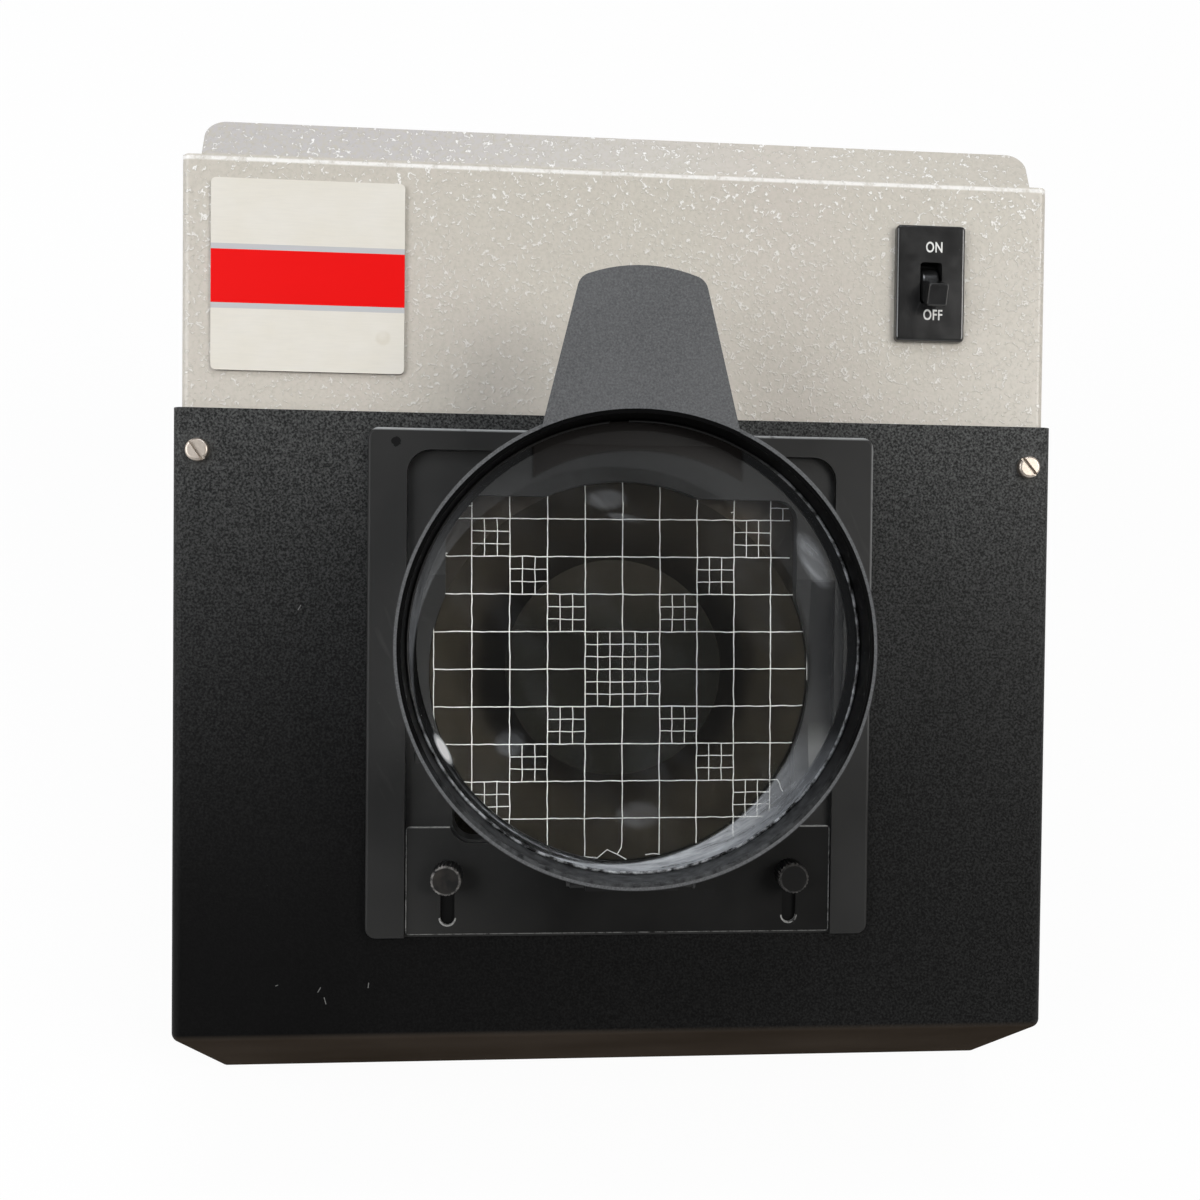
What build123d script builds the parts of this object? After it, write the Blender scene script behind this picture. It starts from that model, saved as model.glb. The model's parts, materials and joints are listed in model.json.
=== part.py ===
"""Dark-field colony counter: a sloping console with a ruled dish well, a tilting magnifier and a lamp.

Millimetres. X is to the right, Y to the back, Z up. The origin is under the middle, on the surface
that the feet stand on. Pieces on the sloping panel are drawn in its own frame: u to the right, v up
the slope from the front bend, w out of the panel.
"""

import os
from math import cos, radians, sin, sqrt, tan

from build123d import *

os.makedirs("parts", exist_ok=True)

# Case
SLOPE = 26.0  # panel above the horizontal, degrees
SIDE_BAND = 50.75  # case to either side of the stage
UPPER_BAND = 68.5  # case's own panel above the cover, along the slope
FRONT_H = 58.0  # front wall
TOP_LIP = 12.0  # lifting lip behind the top bend
LIP_INSET = 5.4
LIP_R = 5.5
SHEET = 1.5
BEND_R = 2.2
FLANGE = 15.0  # inward flanges round every opening of the case
FOOT_H = 9.0
FOOT_D = 20.0
FOOT_INSET = 20.0  # foot centre from the case's sides
FOOT_BORE = 9.0
FOOT_TAPER = 1.5

# Front cover
COVER_MARGIN = 4.5  # cover above the stage
COVER_GAP = 0.4
COVER_SHEET = 1.4
COVER_SIDE = 18.0
COVER_BEND_R = 2.8
COVER_LAP = 7.0  # cover over the case's upper panel
COVER_SCREW_SIDE = 5.3  # cover screws from the case's sides
COVER_SCREW_DROP = 11.5  # cover screws from the cover's upper edge
COVER_SLOT_ANGLES = (-56.0, -50.0)

# Base and back
BASE_SHEET = 1.5
BACK_SHEET = 1.2
PANEL_FIT = 0.4  # back panel to the lip above it
VENT_W = 3.2
VENT_PITCH = 8.5
BACK_VENT_L = 52.0
BACK_VENT_ROWS = 6
BACK_VENT_X = 34.0
BACK_VENT_Z = 108.0  # middle of the back vents above the base
BASE_VENT_L = 70.0
BASE_VENT_ROWS = 5
BASE_SCREW_SHARE = 0.32  # base screws from either end, as a share of the case's depth

# Dish well and the stage round it
WELL_D = 101.5
WELL_RISE = 3.55  # well above the stage's middle
SQUARE_INSET = 8.5  # square of the ruling less than the well
WELL_CORNER_R = 5.5
WELL_DEPTH = 8.0
WELL_WALL = 2.2
SKIRT_MARGIN = 22.5  # skirt wider than the well
STAGE_MARGIN = 15.5  # stage wider than the skirt
STAGE_FRONT = 27.0  # front bend to the stage
STAGE_R = 3.0
STAGE_RIM = 3.0
STAGE_EDGE_R = 0.8
POCKET_MARGIN = 16.9  # pocket wider than the well
POCKET_DROP = 5.8  # pocket from the stage's upper edge
POCKET_R = 6.5
POCKET_DEPTH = 2.2
FLOOR_T = 2.2
SKIRT_R = 6.0
SKIRT_WALL = 2.2
SKIRT_GAP = 0.4
SCOOP_CHORD = 51.0
SCOOP_DEPTH = 5.0
SCOOP_RUN = 6.25  # scoops beyond the well
STUD_IN = 9.0  # studs from the stage's front and back edges
STUD_D = 4.0
STUD_L = 5.0
PUSH_NUT_D = 7.0
PUSH_NUT_T = 0.6
BOSS_IN = 5.7  # corner bosses from the skirt's edge
CORNER_BOSS_D = 7.0
RIB_T = 2.0

# Ruled plate and its retainer
GLASS_MARGIN = 4.5  # plate wider than the well
GLASS_T = 2.5
GLASS_R = 2.0
RETAINER_T = 1.5
RETAINER_INSET = 1.0  # retainer less than the skirt
RETAINER_LEDGE = 0.5  # its window less than the well

# Magnifier bracket and its thumbscrews
BRACKET_T = 1.2
BRACKET_FIT = 0.6  # bracket less than the pocket
BRACKET_LOW = 27.8
BRACKET_TOP = 57.5
BRACKET_R = 1.0
BRACKET_WELL_GAP = 0.8
ARM_W = 32.0
ARM_RISE = 3.9  # middle of the upright sheet and of the hinge above the thumbscrews
ARM_U = 1.5  # upright, hinge and lens off the stage's middle
ARM_RELIEF = 2.0
HINGE_GAP = 0.3
HINGE_CENTRE_W = 24.0
KNUCKLE_R = 2.7
PIN_D = 3.0
PIN_FIT = 0.05
PIN_HEAD_D = 4.6
PIN_HEAD_T = 0.9
CLIP_D = 6.0
CLIP_T = 0.6
THUMB_SIDE = 11.7  # thumbscrews from the pocket's sides
THUMB_IN = 5.9  # thumbscrews from the skirt's front edge
THUMB_D = 3.5
THUMB_FIT = 0.05
SLOT_W = 3.9
SLOT_LOW = 30.45
SLOT_PLAY = 0.3
KNOB_D = 8.4
KNOB_H = 7.4
KNOB_CHAMFER = 0.6
KNURLS = 26
KNURL_R = 0.35
INSERT_D = 6.0
INSERT_BOSS_D = 9.0
BOSS_CLEAR = 0.2

# Lens and its frame
RING_RISE = 0.7  # ring's edge above the hinge
RING_WALL = 1.9
RING_CHAMFER = 0.4  # inside the rim
RING_BASE = 29.0  # underside of the ring above the panel
RING_H = 16.0
LENS_D = 114.3
LENS_SIDE = 0.45  # lens to the bore round it
LENS_EDGE = 3.0
LENS_RADIUS = 520.0
LENS_FIT = 0.03
LIP_T = 2.0
LIP_REACH = 2.6
RETAIN_H = 3.0
RETAIN_REACH = 1.0
RETAIN_GAP = 0.3  # retaining ring to the bore round it
TAB_LOW_HALF = 24.0
TAB_TOP_HALF = 14.6
TAB_REACH = 33.8  # tab beyond the ring
TAB_T = 2.6
TAB_PROUD = 0.6
TAB_ARCH = 3.2
TAB_R = 4.0
LUG_R = 2.9
LUG_REACH = 3.6
HINGE_CLEAR = 0.4
HEEL_DROP = 7.6
HEEL_T = 2.4

# Nameplate and switch
PLATE_W = 51.7
PLATE_T = 1.0
PLATE_SIDE = 34.0  # plate's middle from the case's left side
PLATE_RISE = 36.3  # and from the cover's upper edge
PLATE_R = 1.4
SWITCH_SIDE = 34.4  # switch's middle from the case's right side
SWITCH_DROP = 28.7  # and from the top bend
SWITCH_W = 19.8
SWITCH_L = 32.6
SWITCH_T = 2.4
SWITCH_R = 1.2
SWITCH_EDGE_R = 0.9
SWITCH_SLOT_W = 6.3
SWITCH_SLOT_L = 11.6
SWITCH_SLOT_R = 1.0
SWITCH_BODY_W = 16.4
SWITCH_BODY_L = 28.6
SWITCH_BODY_D = 24.0
SWITCH_FIT = 0.4
LEVER_PIVOT_W = -3.0
LEVER_REACH = 13.4
LEVER_W = 5.5
LEVER_ROOT = 5.2  # paddle's thickness at the pivot
LEVER_END = 6.2
LEVER_EDGE_R = 0.6
LEVER_HUB_R = 5.2
LEVER_HUB_EDGE_R = 1.0
LEVER_PIN_R = 1.0
LEVER_PIN_REACH = 1.5  # pivot beyond the slot's sides
LEVER_TILT = 22.0
LEVER_GAP = 0.3
TERMINAL_L = 6.0
TERMINAL_W = 4.0
TERMINAL_T = 0.8
TERMINAL_PITCH = 9.0
TERMINAL_DROP = 6.0  # terminals down the slope from the switch's middle

# Lamp and reflector
REFLECTOR_T = 0.8
BOWL_MARGIN = 1.25  # bowl's rim beyond the well
BOWL_BASE_R = 24.0
BOWL_DEPTH = 54.0
BOWL_BULGE = 6.0
BOWL_HOLE_R = 15.5
STOP_R = 30.0
STOP_T = 0.8
STOP_W = -37.0
STOP_LEG_R = 19.0
STOP_LEG_W = 5.0
STOP_FOOT_IN = 2.0
STOP_FOOT_L = 5.0
BULB_R = 11.0
BULB_W = -52.5
BULB_NECK_R = 5.5
CAP_R = 6.5
CAP_L = 14.0
CAP_TOP = -66.0
CAP_CORE_R = 6.0
CAP_THREADS = 3
CAP_THREAD_H = 1.6
CAP_PITCH = 3.0
SOCKET_R = 13.0
SOCKET_H = 18.0
SOCKET_GAP = 0.3
SOCKET_EDGE_R = 1.5
SEAT_W = -88.0
SEAT_L = 34.0
SEAT_WIDTH = 30.0
LAMP_SHEET = 1.5
LAMP_FOOT_L = 18.0
LAMP_SCREW_X = 9.0

# Wiring inside
BLOCK_SIDE = 58.5  # terminal block from the case's right side
BLOCK_W = 44.0
BLOCK_D = 18.0
BLOCK_H = 13.0
BLOCK_BACK = 45.0  # terminal block from the back of the case
BLOCK_POLES = 3
BARRIER_T = 1.6
BARRIER_H = 2.0
LEAD_D = 2.4
LEAD_IN = 5.5  # leads from the middle of the block
LEAD_DROP = 16.0  # straight run of a lead at each end
LEAD_SPLIT = 3.0
ARC_SHARE = 0.45
BUSHING_SIDE = 35.5  # bushing from the case's left side
BUSHING_Z = 28.0
BUSHING_D = 12.6
BUSHING_FLANGE_D = 17.0
BUSHING_FLANGE_T = 2.5
BUSHING_BORE = 7.5
BUSHING_NOSE = 6.0
BUSHING_TIP = 1.5
BUSHING_FIT = 0.2
EARTH_SIDE = 60.5  # earth screw from the case's left side

# Screws: head diameter, head height, shank diameter, length under the head
NUT_FLATS = 7.0
NUT_T = 2.4
PAN_HEAD = (6.2, 2.2, 3.0, 9.0)
SMALL_HEAD = (5.5, 1.8, 3.0, 6.0)
TAPPER = (5.0, 1.8, 2.2, 9.0)
FOOT_SCREW = (5.5, 1.8, 3.0, FOOT_H / 2 + BASE_SHEET + NUT_T + 1.0)
SCREW_FIT = 0.15
SCREW_SLOT_W = 1.0
SCREW_SLOT_T = 0.9

# Widths and places that follow from the well
SKIRT_W = WELL_D + SKIRT_MARGIN
STAGE_W = SKIRT_W + STAGE_MARGIN
STAGE_V = STAGE_FRONT + STAGE_W / 2
BODY_W = STAGE_W + 2 * SIDE_BAND
HALF_W = BODY_W / 2
COVER_TOP = STAGE_FRONT + STAGE_W + COVER_MARGIN
PANEL_L = COVER_TOP + UPPER_BAND  # front bend to top bend, along the slope
WELL_V = STAGE_V + WELL_RISE
WELL_SQUARE = WELL_D - SQUARE_INSET
POCKET_W = WELL_D + POCKET_MARGIN
POCKET_TOP = STAGE_FRONT + STAGE_W - POCKET_DROP
SCOOP_END = WELL_D / 2 + SCOOP_RUN
STUD_U = (STAGE_W + SKIRT_W) / 4
CORNER_BOSS = SKIRT_W / 2 - BOSS_IN
GLASS_W = WELL_D + GLASS_MARGIN
RETAINER_W = SKIRT_W - RETAINER_INSET
RETAINER_HOLE = WELL_D - RETAINER_LEDGE
BOWL_RIM_R = WELL_D / 2 + BOWL_MARGIN
BRACKET_W = POCKET_W - BRACKET_FIT
THUMB_U = POCKET_W / 2 - THUMB_SIDE
THUMB_V = WELL_V - SKIRT_W / 2 + THUMB_IN
ARM_V = THUMB_V + ARM_RISE
BORE_R = LENS_D / 2 + LENS_SIDE
RING_R = BORE_R + RING_WALL
RING_V = ARM_V + RING_R + RING_RISE
TAB_TOP = RING_V + RING_R + TAB_REACH
COVER_SCREW_U = HALF_W - COVER_SCREW_SIDE
COVER_SCREW_V = COVER_TOP - COVER_SCREW_DROP
PLATE_U, PLATE_V = PLATE_SIDE - HALF_W, COVER_TOP + PLATE_RISE
SWITCH_U, SWITCH_V = HALF_W - SWITCH_SIDE, PANEL_L - SWITCH_DROP
BLOCK_X, BUSHING_X, EARTH_X = HALF_W - BLOCK_SIDE, BUSHING_SIDE - HALF_W, EARTH_SIDE - HALF_W

# Levels that follow from the sizes above
Z_CASE = FOOT_H + BASE_SHEET
Z_BEND = Z_CASE + FRONT_H
CASE_D = PANEL_L * cos(radians(SLOPE))
Z_TOP = Z_BEND + PANEL_L * sin(radians(SLOPE))
W_COVER = COVER_GAP + COVER_SHEET
Y_FRONT = (W_COVER - CASE_D - TOP_LIP) / 2
Y_BACK = Y_FRONT + CASE_D
W_STAGE = W_COVER + STAGE_RIM
W_POCKET = W_STAGE - POCKET_DEPTH
W_GLASS = W_POCKET - WELL_DEPTH
W_SKIRT = W_GLASS - GLASS_T
W_RETAINER = W_SKIRT - RETAINER_T
W_BRACKET = W_POCKET + BRACKET_T
W_RIM = RING_BASE + RING_H
W_SEAT = RING_BASE + LIP_T
HINGE_W = RING_BASE - LUG_R - HINGE_CLEAR
W_BOWL = W_RETAINER - REFLECTOR_T - BOWL_DEPTH
PANEL = Plane(
    origin=(0, Y_FRONT, Z_BEND),
    x_dir=(1, 0, 0),
    z_dir=(0, -sin(radians(SLOPE)), cos(radians(SLOPE))),
)


def sag(radius):
    """How far a face of the lens has fallen from its crown at a radius."""
    return LENS_RADIUS - sqrt(LENS_RADIUS**2 - radius**2)


def edge_rise(radius):
    """How far a face of the lens bulges beyond its edge at a radius, with the fit added."""
    return sag(LENS_D / 2) - sag(radius) + LENS_FIT


W_LENS = W_SEAT + edge_rise(BORE_R - LIP_REACH)


def on_panel(shape):
    """Moves a shape from the panel's frame to the object's."""
    return shape.moved(PANEL.location)


def row_point(u, v, w):
    """A point of the panel's frame, in the object's frame."""
    slope = radians(SLOPE)
    return Vector(u, Y_FRONT + v * cos(slope) - w * sin(slope), Z_BEND + v * sin(slope) + w * cos(slope))


def slab(outline, low, high):
    """A sketch made solid between two heights."""
    return extrude(Pos(0, 0, low) * outline, high - low)


def box(x, y, z):
    """A box from its lowest and highest value along each axis."""
    size = [high - low for low, high in (x, y, z)]
    middle = [(high + low) / 2 for low, high in (x, y, z)]
    return Pos(*middle) * Box(*size)


def rod(radius, low, high):
    """A cylinder along Z between two heights."""
    return Pos(0, 0, (low + high) / 2) * Cylinder(radius, high - low)


def u_rod(radius, v, w, low, high):
    """A cylinder along u between two places."""
    return Pos((low + high) / 2, v, w) * Rot(0, 90, 0) * Cylinder(radius, high - low)


def screw(kind, slot_angle=0.0):
    """A slotted screw that points down from its seat at the origin."""
    head_d, head_h, shank_d, length = kind
    head = rod(head_d / 2, 0, head_h)
    head = fillet(head.faces().sort_by(Axis.Z)[-1].edges(), head_h / 3)
    slot = Rot(0, 0, slot_angle) * Pos(0, 0, head_h) * Box(head_d * 2, SCREW_SLOT_W, SCREW_SLOT_T * 2)
    return head + rod(shank_d / 2, -length, 0) - slot


def clear_hole(kind, low, high):
    """The hole that a screw passes through."""
    return rod(kind[2] / 2 + SCREW_FIT, low, high)


def nut(thread_d):
    """A hexagon nut that hangs down from the origin."""
    hexagon = Rot(0, 0, 30) * RegularPolygon(NUT_FLATS / 2, 6, major_radius=False)
    return slab(hexagon - Circle(thread_d / 2 + SCREW_FIT), -NUT_T, 0)


def four(x, y):
    """The four corners of a rectangle about the origin."""
    return [(i * x, j * y) for i in (-1, 1) for j in (-1, 1)]


def save(name, *solids):
    """Writes one node."""
    shape = solids[0] if len(solids) == 1 else Compound(children=list(solids))
    export_step(shape, f"parts/{name}.step")


# Case


def case_section(grow=0.0):
    """The case's side outline, moved out from every outer face by grow."""
    corners = [(Y_FRONT, Z_CASE), (Y_FRONT, Z_BEND), (Y_BACK, Z_TOP), (Y_BACK, Z_CASE)]
    outline = Plane.YZ * make_face(Polyline(*corners, close=True))
    return offset(outline, grow, kind=Kind.INTERSECTION) if grow else outline


def prism(grow):
    """The case's outline as a solid block, moved out by grow on every side."""
    return extrude(case_section(grow), HALF_W + grow, both=True)


def round_bends(block, radius):
    """Rounds the sheet's bends: the front bend and the sides of the slope and of the front wall."""
    slope = block.faces().filter_by(lambda f: f.normal_at().dot(PANEL.z_dir) > 0.999)[0]
    front = block.faces().sort_by(Axis.Y)[0]
    low, high = block.bounding_box().min.Z, block.bounding_box().max.Z
    inside = {e for e in [*slope.edges(), *front.edges()] if low + 1 < e.center().Z < high - 1}
    return fillet(sorted(inside, key=lambda e: tuple(e.center())), radius)


def foot_places():
    """Centres of the four feet."""
    x = HALF_W - FOOT_INSET
    return [(i * x, y) for i in (-1, 1) for y in (Y_FRONT + FOOT_INSET, Y_BACK - FOOT_INSET)]


def base_screw_places():
    """Screws through the base plate into the case's bottom flanges."""
    x = HALF_W - FLANGE / 2
    return [
        (i * x, Y_FRONT + CASE_D * share)
        for i in (-1, 1)
        for share in (BASE_SCREW_SHARE, 1 - BASE_SCREW_SHARE)
    ]


def back_screw_places():
    """Screws through the back panel, as X and Z."""
    x = HALF_W - FLANGE / 2
    heights = (Z_CASE + FLANGE / 2, (Z_CASE + Z_TOP) / 2, Z_TOP - FLANGE)
    return [(i * x, z) for i in (-1, 1) for z in heights]


def upper_edge():
    """Lower edge of the case's own panel, under the cover."""
    return COVER_TOP - COVER_LAP


def lifting_lip():
    """The lip that turns back from the top bend, with rounded corners."""
    half = HALF_W - LIP_INSET
    lip = box((-half, half), (Y_BACK, Y_BACK + TOP_LIP), (Z_TOP - SHEET, Z_TOP))
    return fillet(lip.edges().filter_by(Axis.Z).group_by(Axis.Y)[-1], LIP_R)


def case_body():
    """Bent sheet shell with inward flanges; the cover, base and back close it."""
    inner = HALF_W - FLANGE
    shell = round_bends(prism(0), BEND_R) - prism(-SHEET)
    shell -= on_panel(box((-inner, inner), (-FRONT_H, upper_edge()), (-SHEET * 3, SHEET)))
    shell -= box((-inner, inner), (Y_FRONT - SHEET, Y_FRONT + SHEET * 2), (Z_CASE + FLANGE, Z_BEND))
    low, high = Z_CASE + FLANGE, Z_TOP - 2 * FLANGE
    shell -= box((-inner, inner), (Y_BACK - SHEET * 2, Y_BACK + SHEET), (low, high))
    shell -= box((-inner, inner), (Y_FRONT + FLANGE, Y_BACK - FLANGE), (Z_CASE - SHEET, Z_CASE + SHEET * 2))
    shell += lifting_lip()
    hole = Rectangle(SWITCH_BODY_W + 2 * SWITCH_FIT, SWITCH_BODY_L + 2 * SWITCH_FIT)
    shell -= on_panel(slab(Pos(SWITCH_U, SWITCH_V) * hole, -SHEET * 2, SHEET))
    for side in (-1, 1):
        hole = Pos(side * COVER_SCREW_U, COVER_SCREW_V) * clear_hole(PAN_HEAD, -SHEET * 2, SHEET)
        shell -= on_panel(hole)
    for x, y in base_screw_places():
        shell -= Pos(x, y, Z_CASE) * clear_hole(SMALL_HEAD, -SHEET, SHEET * 2)
    for x, z in back_screw_places():
        shell -= Pos(x, Y_BACK, z) * Rot(90, 0, 0) * clear_hole(SMALL_HEAD, -SHEET, SHEET * 2)
    return shell


def stage_corner_places():
    """Moulded studs of the stage, as u and v."""
    low, high = STAGE_V - STAGE_W / 2 + STUD_IN, STAGE_V + STAGE_W / 2 - STUD_IN
    return [(i * STUD_U, v) for i in (-1, 1) for v in (low, high)]


def front_cover():
    """Folded sheet over the lower panel, the front wall and a strip of each side."""
    shell = round_bends(prism(W_COVER), COVER_BEND_R) - prism(COVER_GAP)
    wide = BODY_W
    slope_band = on_panel(box((-wide, wide), (-FRONT_H, COVER_TOP), (-COVER_SIDE, COVER_SIDE)))
    front_band = box(
        (-wide, wide), (Y_FRONT - FRONT_H, Y_FRONT + COVER_SIDE), (Z_CASE, Z_BEND + COVER_SIDE)
    )
    bands = (slope_band + front_band) & box((-wide, wide), (-wide, wide), (Z_CASE, Z_TOP + wide))
    cover = shell & bands
    window = skirt_outline(SKIRT_GAP)
    cover -= on_panel(slab(window, -SHEET, SHEET * 3))
    for side in (-1, 1):
        hole = clear_hole(PAN_HEAD, -SHEET, SHEET * 3)
        cover -= on_panel(Pos(side * COVER_SCREW_U, COVER_SCREW_V) * hole)
    for u, v in stage_corner_places():
        cover -= on_panel(Pos(u, v) * rod(STUD_D / 2 + SCREW_FIT, -SHEET, SHEET * 3))
    return cover


def base_plate():
    """Flat sheet under the case with ventilation slots."""
    plate = box((-HALF_W, HALF_W), (Y_FRONT, Y_BACK), (FOOT_H, Z_CASE))
    middle = (Y_FRONT + Y_BACK) / 2
    for row in range(BASE_VENT_ROWS):
        y = middle + (row - (BASE_VENT_ROWS - 1) / 2) * VENT_PITCH
        plate -= Pos(0, y, FOOT_H) * slab(SlotOverall(BASE_VENT_L, VENT_W), 0, BASE_SHEET)
    for x, y in [*base_screw_places(), *foot_places()]:
        plate -= Pos(x, y, FOOT_H) * clear_hole(SMALL_HEAD, 0, BASE_SHEET)
    for side in (-1, 1):
        spot = lamp_foot_middle()
        plate -= Pos(side * LAMP_SCREW_X, spot, FOOT_H) * clear_hole(SMALL_HEAD, 0, BASE_SHEET)
    plate -= Pos(EARTH_X, Y_BACK - BLOCK_BACK, FOOT_H) * clear_hole(SMALL_HEAD, 0, BASE_SHEET)
    return plate


def back_panel():
    """Flat sheet across the back with two columns of ventilation slots and the cord's hole."""
    panel = box((-HALF_W, HALF_W), (Y_BACK, Y_BACK + BACK_SHEET), (FOOT_H, Z_TOP - SHEET - PANEL_FIT))
    slot = Rot(90, 0, 0) * slab(SlotOverall(BACK_VENT_L, VENT_W), -BACK_SHEET * 2, BACK_SHEET * 2)
    for row in range(BACK_VENT_ROWS):
        z = Z_CASE + BACK_VENT_Z + (row - (BACK_VENT_ROWS - 1) / 2) * VENT_PITCH
        for side in (-1, 1):
            panel -= Pos(side * BACK_VENT_X, Y_BACK, z) * slot
    for x, z in back_screw_places():
        panel -= Pos(x, Y_BACK, z) * Rot(90, 0, 0) * clear_hole(SMALL_HEAD, -SHEET * 2, SHEET * 2)
    hole = rod(BUSHING_D / 2 + BUSHING_FIT, -SHEET * 2, SHEET * 2)
    panel -= Pos(BUSHING_X, Y_BACK, Z_CASE + BUSHING_Z) * Rot(90, 0, 0) * hole
    return panel


def rubber_foot():
    """Tapered foot with a recess for its screw."""
    body = Pos(0, 0, FOOT_H / 2) * Cone(FOOT_D / 2 - FOOT_TAPER, FOOT_D / 2, FOOT_H)
    return body - rod(FOOT_BORE / 2, -1, FOOT_H / 2) - clear_hole(SMALL_HEAD, 0, FOOT_H)


# Stage


def skirt_outline(grow=0.0):
    """Square outline of the stage's skirt."""
    side = SKIRT_W + 2 * grow
    return Pos(0, WELL_V) * RectangleRounded(side, side, SKIRT_R + grow)


def well_outline(grow=0.0):
    """The dish well: round for the dish, with the square corners of the ruling."""
    square = RectangleRounded(WELL_SQUARE + 2 * grow, WELL_SQUARE + 2 * grow, WELL_CORNER_R + grow)
    return Pos(0, WELL_V) * (Circle(WELL_D / 2 + grow) + square)


def pocket_outline():
    """Shallow pocket in the stage's face, open at the front edge."""
    low = STAGE_V - STAGE_W / 2 - 2 * POCKET_R
    middle = (low + POCKET_TOP) / 2
    return Pos(0, middle) * RectangleRounded(POCKET_W, POCKET_TOP - low, POCKET_R)


def stage_frame():
    """Moulded stage: rim, pocket, dish well with finger scoops, and a ribbed skirt below."""
    rim = slab(Pos(0, STAGE_V) * RectangleRounded(STAGE_W, STAGE_W, STAGE_R), W_COVER, W_STAGE)
    rim = fillet(rim.faces().sort_by(Axis.Z)[-1].edges(), STAGE_EDGE_R)
    floor = slab(skirt_outline(), W_POCKET - FLOOR_T, W_COVER)
    skirt = slab(skirt_outline() - skirt_outline(-SKIRT_WALL), W_SKIRT, W_COVER)
    wall = slab(well_outline(WELL_WALL), W_GLASS, W_COVER)
    stage = rim + floor + skirt + wall
    reach = SKIRT_W / 2 - SKIRT_WALL / 2
    half = SCOOP_CHORD / 2 + WELL_WALL
    low = W_POCKET - SCOOP_DEPTH - FLOOR_T
    stage += box((-reach, reach), (WELL_V - half, WELL_V + half), (low, W_COVER))
    for i, j in four(1, 1):
        boss = Pos(i * CORNER_BOSS, WELL_V + j * CORNER_BOSS) * rod(CORNER_BOSS_D / 2, W_SKIRT, W_COVER)
        middle = (CORNER_BOSS + WELL_SQUARE / 2) / 2
        rib = Pos(i * middle, WELL_V + j * middle) * Rot(0, 0, 45 * i * j)
        length = sqrt(2) * (CORNER_BOSS - WELL_SQUARE / 2 + WELL_CORNER_R / 2)
        stage += boss + rib * box((-length / 2, length / 2), (-RIB_T / 2, RIB_T / 2), (W_GLASS, W_COVER))
    for side in (-1, 1):
        stage += Pos(side * THUMB_U, THUMB_V) * rod(INSERT_BOSS_D / 2, W_GLASS + BOSS_CLEAR, W_COVER)
    for u, v in stage_corner_places():
        stage += Pos(u, v) * rod(STUD_D / 2, W_COVER - STUD_L, W_COVER)
    stage -= slab(pocket_outline(), W_POCKET, W_STAGE)
    stage -= slab(well_outline(), W_GLASS, W_STAGE)
    scoop_r = (SCOOP_CHORD**2 / 4 + SCOOP_DEPTH**2) / (2 * SCOOP_DEPTH)
    stage -= u_rod(scoop_r, WELL_V, W_POCKET + scoop_r - SCOOP_DEPTH, -SCOOP_END, SCOOP_END)
    for side in (-1, 1):
        stage -= Pos(side * THUMB_U, THUMB_V) * rod(INSERT_D / 2, W_SKIRT, W_STAGE)
    for i, j in four(CORNER_BOSS, CORNER_BOSS):
        stage -= Pos(i, WELL_V + j) * rod(TAPPER[2] / 2 + SCREW_FIT, W_SKIRT, W_SKIRT + TAPPER[3])
    return stage


def push_nut():
    """Domed push-on nut round a moulded stud, against the cover's underside."""
    disc = slab(Circle(PUSH_NUT_D / 2) - Circle(STUD_D / 2 + SCREW_FIT), -PUSH_NUT_T, 0)
    return Pos(0, 0, COVER_GAP) * disc


def thread_insert():
    """Brass insert that the thumbscrew turns in."""
    bore = THUMB_D / 2 + THUMB_FIT
    return slab(Circle(INSERT_D / 2) - Circle(bore), W_GLASS + BOSS_CLEAR, W_POCKET)


def guide_plate():
    """Ruled glass plate under the well."""
    return slab(Pos(0, WELL_V) * RectangleRounded(GLASS_W, GLASS_W, GLASS_R), W_SKIRT, W_GLASS)


def corner_holes(outline):
    """Drills the four corner screw holes in an outline."""
    for i, j in four(CORNER_BOSS, CORNER_BOSS):
        outline -= Pos(i, WELL_V + j) * Circle(TAPPER[2] / 2 + SCREW_FIT)
    return outline


def guide_plate_retainer():
    """Frame with a round window that holds the ruled plate up from below."""
    outline = RectangleRounded(RETAINER_W, RETAINER_W, SKIRT_R) - Circle(RETAINER_HOLE / 2)
    return slab(corner_holes(Pos(0, WELL_V) * outline), W_RETAINER, W_SKIRT)


# Lamp


def bowl_section(inset):
    """Half outline of the bowl, moved in by inset."""
    top = W_RETAINER
    rim, base, low = BOWL_RIM_R - inset, BOWL_BASE_R - inset, W_BOWL + inset
    middle = ((rim + base) / 2 + BOWL_BULGE, (top + low) / 2)
    side = ThreePointArc((rim, top), middle, (base, low))
    ends = Polyline((base, low), (0, low), (0, top), (rim, top))
    return Plane.XZ * make_face(Curve() + side + ends)


def reflector():
    """Spun bowl with a square flange under the retainer."""
    bowl = revolve(bowl_section(-REFLECTOR_T), Axis.Z) - revolve(bowl_section(0), Axis.Z)
    bowl = Pos(0, WELL_V) * bowl
    flange = Pos(0, WELL_V) * (RectangleRounded(RETAINER_W, RETAINER_W, SKIRT_R) - Circle(BOWL_RIM_R))
    bowl += slab(corner_holes(flange), W_RETAINER - REFLECTOR_T, W_RETAINER)
    return bowl - Pos(0, WELL_V) * rod(BOWL_HOLE_R, W_BOWL - BOWL_DEPTH, W_BOWL + SHEET)


def dark_field_stop():
    """Black disc over the lamp, on three legs that stand in the bowl."""
    stop = rod(STOP_R, STOP_W, STOP_W + STOP_T)
    across = (-STOP_LEG_W / 2, STOP_LEG_W / 2)
    inner = STOP_LEG_R - STOP_FOOT_IN
    for turn in (0, 120, 240):
        leg = box((STOP_LEG_R, STOP_LEG_R + STOP_T), across, (W_BOWL, STOP_W))
        foot = box((inner, inner + STOP_FOOT_L), across, (W_BOWL, W_BOWL + STOP_T))
        stop += Rot(0, 0, turn) * (leg + foot)
    return Pos(0, WELL_V) * stop


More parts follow.
